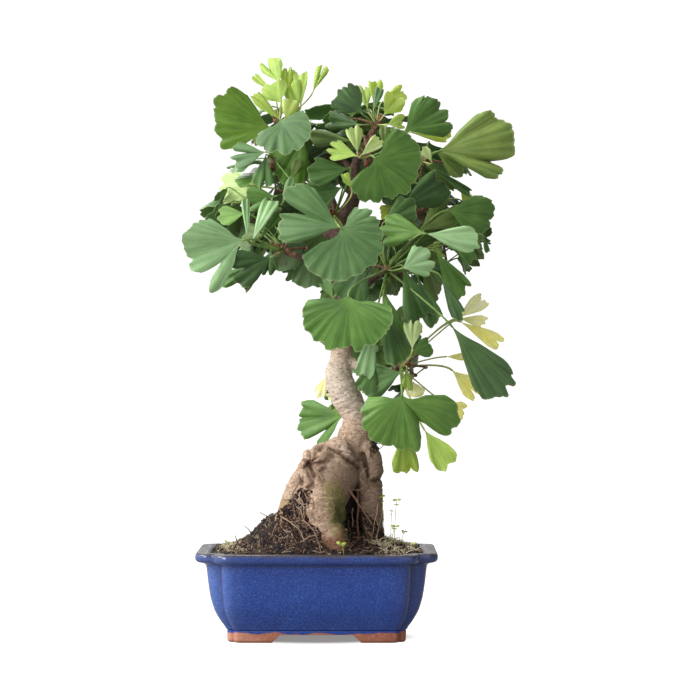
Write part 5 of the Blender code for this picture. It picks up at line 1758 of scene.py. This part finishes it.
# fine roots with a place of their own: radius, tint, then points
ROOTLETS = (
    (.85, .62, ((20.5, -25, 102), (26, -24, 94), (32, -22, 85), (38.5, -19, 75))),
    (.95, .5, ((27, -15, 101), (27.6, -16, 88), (27, -17, 76), (28.5, -18, 63))),
    (.4, .7, ((22, -21, 101), (27, -21, 100), (33, -18, 102), (36, -17, 108))),
    (.35, .8, ((30, -19, 104), (29, -20, 110), (33, -19, 115))),
    (.3, .9, ((41, -13, 93), (40.2, -16, 86), (38.5, -19, 78), (37, -21, 70))),
    (.26, .95, ((43.5, -11, 90), (43.6, -13, 84), (41.8, -15, 76), (40, -18, 68))),
    (.26, .85, ((39.6, -17, 80), (41.4, -17, 75), (40, -19, 69), (41, -20, 63))),
    (.3, .75, ((24, -19, 88), (23.4, -21, 84), (24.2, -22, 79), (23.6, -22, 75))),
    (.42, .7, ((-2.6, -24.5, 117), (2, -27.6, 111), (6.4, -30, 105))),
    (.4, .6, ((-12.6, -19.4, 104), (-15.6, -20, 99), (-16, -20, 94), (-19, -20.6, 89))),
    (.34, .85, ((-11, -20, 99), (-11.6, -22.6, 93), (-8, -24.4, 89), (-5.6, -25.6, 91))),
    (.3, .9, ((-12.6, -20, 97), (-9.6, -23, 92.4), (-8.6, -24.6, 86), (-10, -26, 81))),
    (.3, .85, ((-8, -23, 98), (-6.2, -25.6, 93.4), (-7, -27, 88), (-4, -29.6, 82))),
    (.28, .8, ((-14, -20, 94), (-10.4, -23, 91), (-4.6, -26.4, 92), (-1, -28.4, 95))),
    (.42, .75, ((-23, -23, 82), (-16, -29, 78), (-10.6, -34, 73), (-8, -38.6, 67))),
    (.4, .7, ((-9, -29, 81), (-3, -33.6, 75), (.6, -38, 69), (2.6, -44, 61))),
    (.34, .8, ((-9.6, -37.6, 67), (-4, -36, 70.6), (1.6, -36, 71))),
    (.5, .25, ((-52, -16, 62), (-53.6, -17, 66.5), (-54.4, -17, 69.4))),
    (.4, .3, ((-30, -14, 80), (-35, -15, 83), (-38.6, -16, 85.4))),
    (.36, .2, ((-44, -12, 71), (-47, -13, 74.6), (-49.6, -13, 75.6))),
    (.45, .45, ((35.5, 0, 128), (40, -3, 130.6), (44.4, -4, 130.2))),
    (.4, .3, ((36, -2, 126), (40.6, -5, 126.4), (44, -6, 128.6), (46.4, -6, 132))),
    (.36, .3, ((38, -3, 122.4), (42, -5, 121.4), (43.6, -6, 119.4))),
)
# weeds: x, y, height above the soil, size of a leaf, lean of the stem
WEEDS = ((45, -12, 31, 1.9, -1.5), (52, -8, 30, 2.3, 1.6), (49.5, -8, 21, 1.2, .6),
         (50, -12, 13, 2.4, 2.4), (18, -46, 6.5, 2.7, -1.6), (63, -20, 5, 1.5, 1),
         (-58, -18, 5, 1.6, -2), (57, 10, 9, 1.8, 2))

print("fine roots with a place:", len(ROOTLETS), "weeds:", len(WEEDS))

# %% Fibres and fine roots
def strand(points, radius, rnd, sides=5, steps=3, wave=.25):
    """A thin wavering tube through the points."""
    path = refine([(*p, 0) for p in points], steps)[:, :3]
    path += np.array([[rnd.uniform(-wave, wave) for _ in range(3)] for _ in path])
    return tube(path, radius * np.linspace(1, .55, len(path)), sides)


def lying_fibre(rnd):
    """A fibre that lies over the crumbs, arching a little."""
    x, y, _ = on_soil(rnd)
    turn, length = rnd.uniform(0, 2 * math.pi), rnd.uniform(3, 12)
    bend, lift = rnd.uniform(-.12, .12), rnd.uniform(.2, 1.6)
    points = []
    for k in range(6):
        points.append((x, y, crumbly(x, y) + .35 + lift * math.sin(k * math.pi / 5)))
        turn += bend * length / 5 + rnd.uniform(-.3, .3)
        x = float(np.clip(x + length / 5 * math.cos(turn), -FIBRE_BOUND[0], FIBRE_BOUND[0]))
        y = float(np.clip(y + length / 5 * math.sin(turn), -FIBRE_BOUND[1], FIBRE_BOUND[1]))
    return tube(np.array(points), rnd.uniform(.12, .27) * np.linspace(1, .6, 6), 4)


def clinging_root(rnd, x, z):
    """Points of a fine root that hangs close in front of the bark and the earth."""
    points, turn = [], rnd.uniform(-2.7, -.4)
    while len(points) < 6 and z > ROOT_FLOOR:
        y = front_of(x, z)
        if y is None:
            break
        points.append((x, y - rnd.uniform(.3, 1.8), z))
        x, z = x + ROOT_STEP * math.cos(turn), z + ROOT_STEP * math.sin(turn)
        turn += rnd.uniform(-.8, .8)
    return points


def grow_strands():
    rnd = random.Random(77)
    pairs = [(strand(points, radius, rnd), tint) for radius, tint, points in ROOTLETS]
    pairs += [(lying_fibre(rnd), rnd.random() ** 2.2) for _ in range(FIBRES)]
    for outline, _, count in CLINGING:
        for _ in range(count):
            path = clinging_root(rnd, *random_inside(rnd, outline))
            if len(path) > 2:
                thin = strand(path, rnd.uniform(.14, .34), rnd, 4, 3, .12)
                pairs.append((thin, rnd.random()))
    return tinted_mesh("fibres", pairs)


fibres = grow_strands()
print("strands:", len(fibres.data.vertices), "points")

# %% Moss and weeds
def standing_blade(rnd, x, y, height, radius, curl):
    """A wiry blade that stands up from the soil and curls over."""
    z = crumbly(x, y) - .4
    a = rnd.uniform(0, 2 * math.pi)
    lean = curl * np.array((math.cos(a), math.sin(a), 0))
    t = np.linspace(0, 1, 5)[:, None]
    path = (x, y, z) + (0, 0, height) * (t - .35 * t ** 2) + lean * height * t ** 2
    return tube(path, radius * np.array((1, .95, .85, .6, .25)), 3)


def weed(x, y, height, leaf, lean, rnd):
    """A thread of a stem with pairs of small round leaves."""
    z = crumbly(x, y)
    path = bezier(np.array((x, y, z - 1)), np.array((x, y, z + height * .6)),
                  np.array((x + lean, y, z + height)), 7)
    pairs = [(tube(path, np.linspace(.26, .18, 8), 5), .5)]
    for pair, at in enumerate((7, 6)):
        for half in (-1, 1):
            way = unit(np.array((half, rnd.uniform(-.5, .2), rnd.uniform(-.3, .5))))
            up = unit(np.cross(way, (rnd.uniform(-.3, .3), -.5, .8)))
            up = unit(np.cross(up, way))
            reach = leaf * (1 if pair == 0 else .6)
            line = way * reach * np.linspace(0, 1.3, 6)[:, None]
            verts, faces = tube(line, reach * np.array((.1, .4, .62, .64, .44, .1)), 8)
            flat = np.eye(3) - .8 * np.outer(up, up)
            pairs.append(((verts @ flat + path[at], faces), rnd.uniform(.5, 1)))
    return pairs


def moss_tuft(rnd, x, y, kind):
    """The blades of a tuft round a place, with their tints."""
    blades, spread, radius, heights, curls, tones, bound = kind
    pairs = []
    for _ in range(blades):
        at = (x + rnd.gauss(0, spread), y + rnd.gauss(0, spread))
        if abs(at[0]) <= bound[0] and abs(at[1]) <= bound[1]:
            height, curl = rnd.uniform(*heights), rnd.uniform(*curls)
            pairs.append((standing_blade(rnd, *at, height, radius, curl), rnd.uniform(*tones)))
    return pairs


def grow_moss():
    rnd, pairs = random.Random(83), []
    while len(pairs) < DRY_MOSS + GREEN_MOSS:
        x, y, _ = on_soil(rnd)
        dry = len(pairs) < DRY_MOSS
        thick = noise.noise((x * .09, y * .09, 4)) + .35 * abs(x - 5) / 60
        if thick >= .16 and not (dry and abs(x - 5) < 34):
            pairs += moss_tuft(rnd, x, y, DRY_TUFT if dry else GREEN_TUFT)
    for outline, tufts in WIRY_PATCHES:
        for _ in range(tufts):
            pairs += moss_tuft(rnd, *random_inside(rnd, outline), WIRY_TUFT)
    return tinted_mesh("moss", pairs)


def grow_weeds():
    rnd = random.Random(91)
    return tinted_mesh("weeds", [pair for row in WEEDS for pair in weed(*row, rnd)])


moss, weeds = grow_moss(), grow_weeds()
print("moss:", len(moss.data.vertices), "points, weeds:", len(weeds.data.vertices))

# %% Soil finishes
peat = grained("damp_peat", .9, (.5, 5, .7), ((.35, "120c0d"), (.55, "241917"), (.75, "49342a")),
               (1.2, 5, .7), .7)
chips = grained("bark_crumbs", .85, (1.1, 3), ((.1, "130d0e"), (.55, "231716"), (.8, "3f2920"),
                                               (.95, "8d6c52")), (2.4, 3), .25, .18)
grit = chips.range(chips.value("tint"), 1.1, 1.2)
chips.set(Base_Color=chips.mix(grit, chips.colour, "c9b7a0"))
threads = grained("root_fibres", .75, (.5, 3), ((.08, "2d1a15"), (.35, "5c3728"),
                                                (.62, "80604a"), (.9, "bca48a")), (3,), .1, .12)
moss_wire = grained("moss_wire", .8, (.6, 2), ((.05, "3f4a1e"), (.35, "7b8238"),
                                               (.68, "8a7a55"), (.98, "dccfae")), (3,), .1, .1)
weed_green = grained("weed_green", .5, (.8, 2), ((.35, "8a9440"), (.6, "98a93c"),
                                                 (.95, "c6cf6e")), (2,), .08, .15)
finish_piece(ground, "soil_surface", [peat], "soil", "soil")
finish_piece(crumbs, "soil_crumbs", [chips], "soil")
finish_piece(fibres, "fine_roots_and_fibres", [threads], "soil")
finish_piece(moss, "moss_tufts", [moss_wire], "soil")
finish_piece(weeds, "weed_seedlings", [weed_green], "leaves")
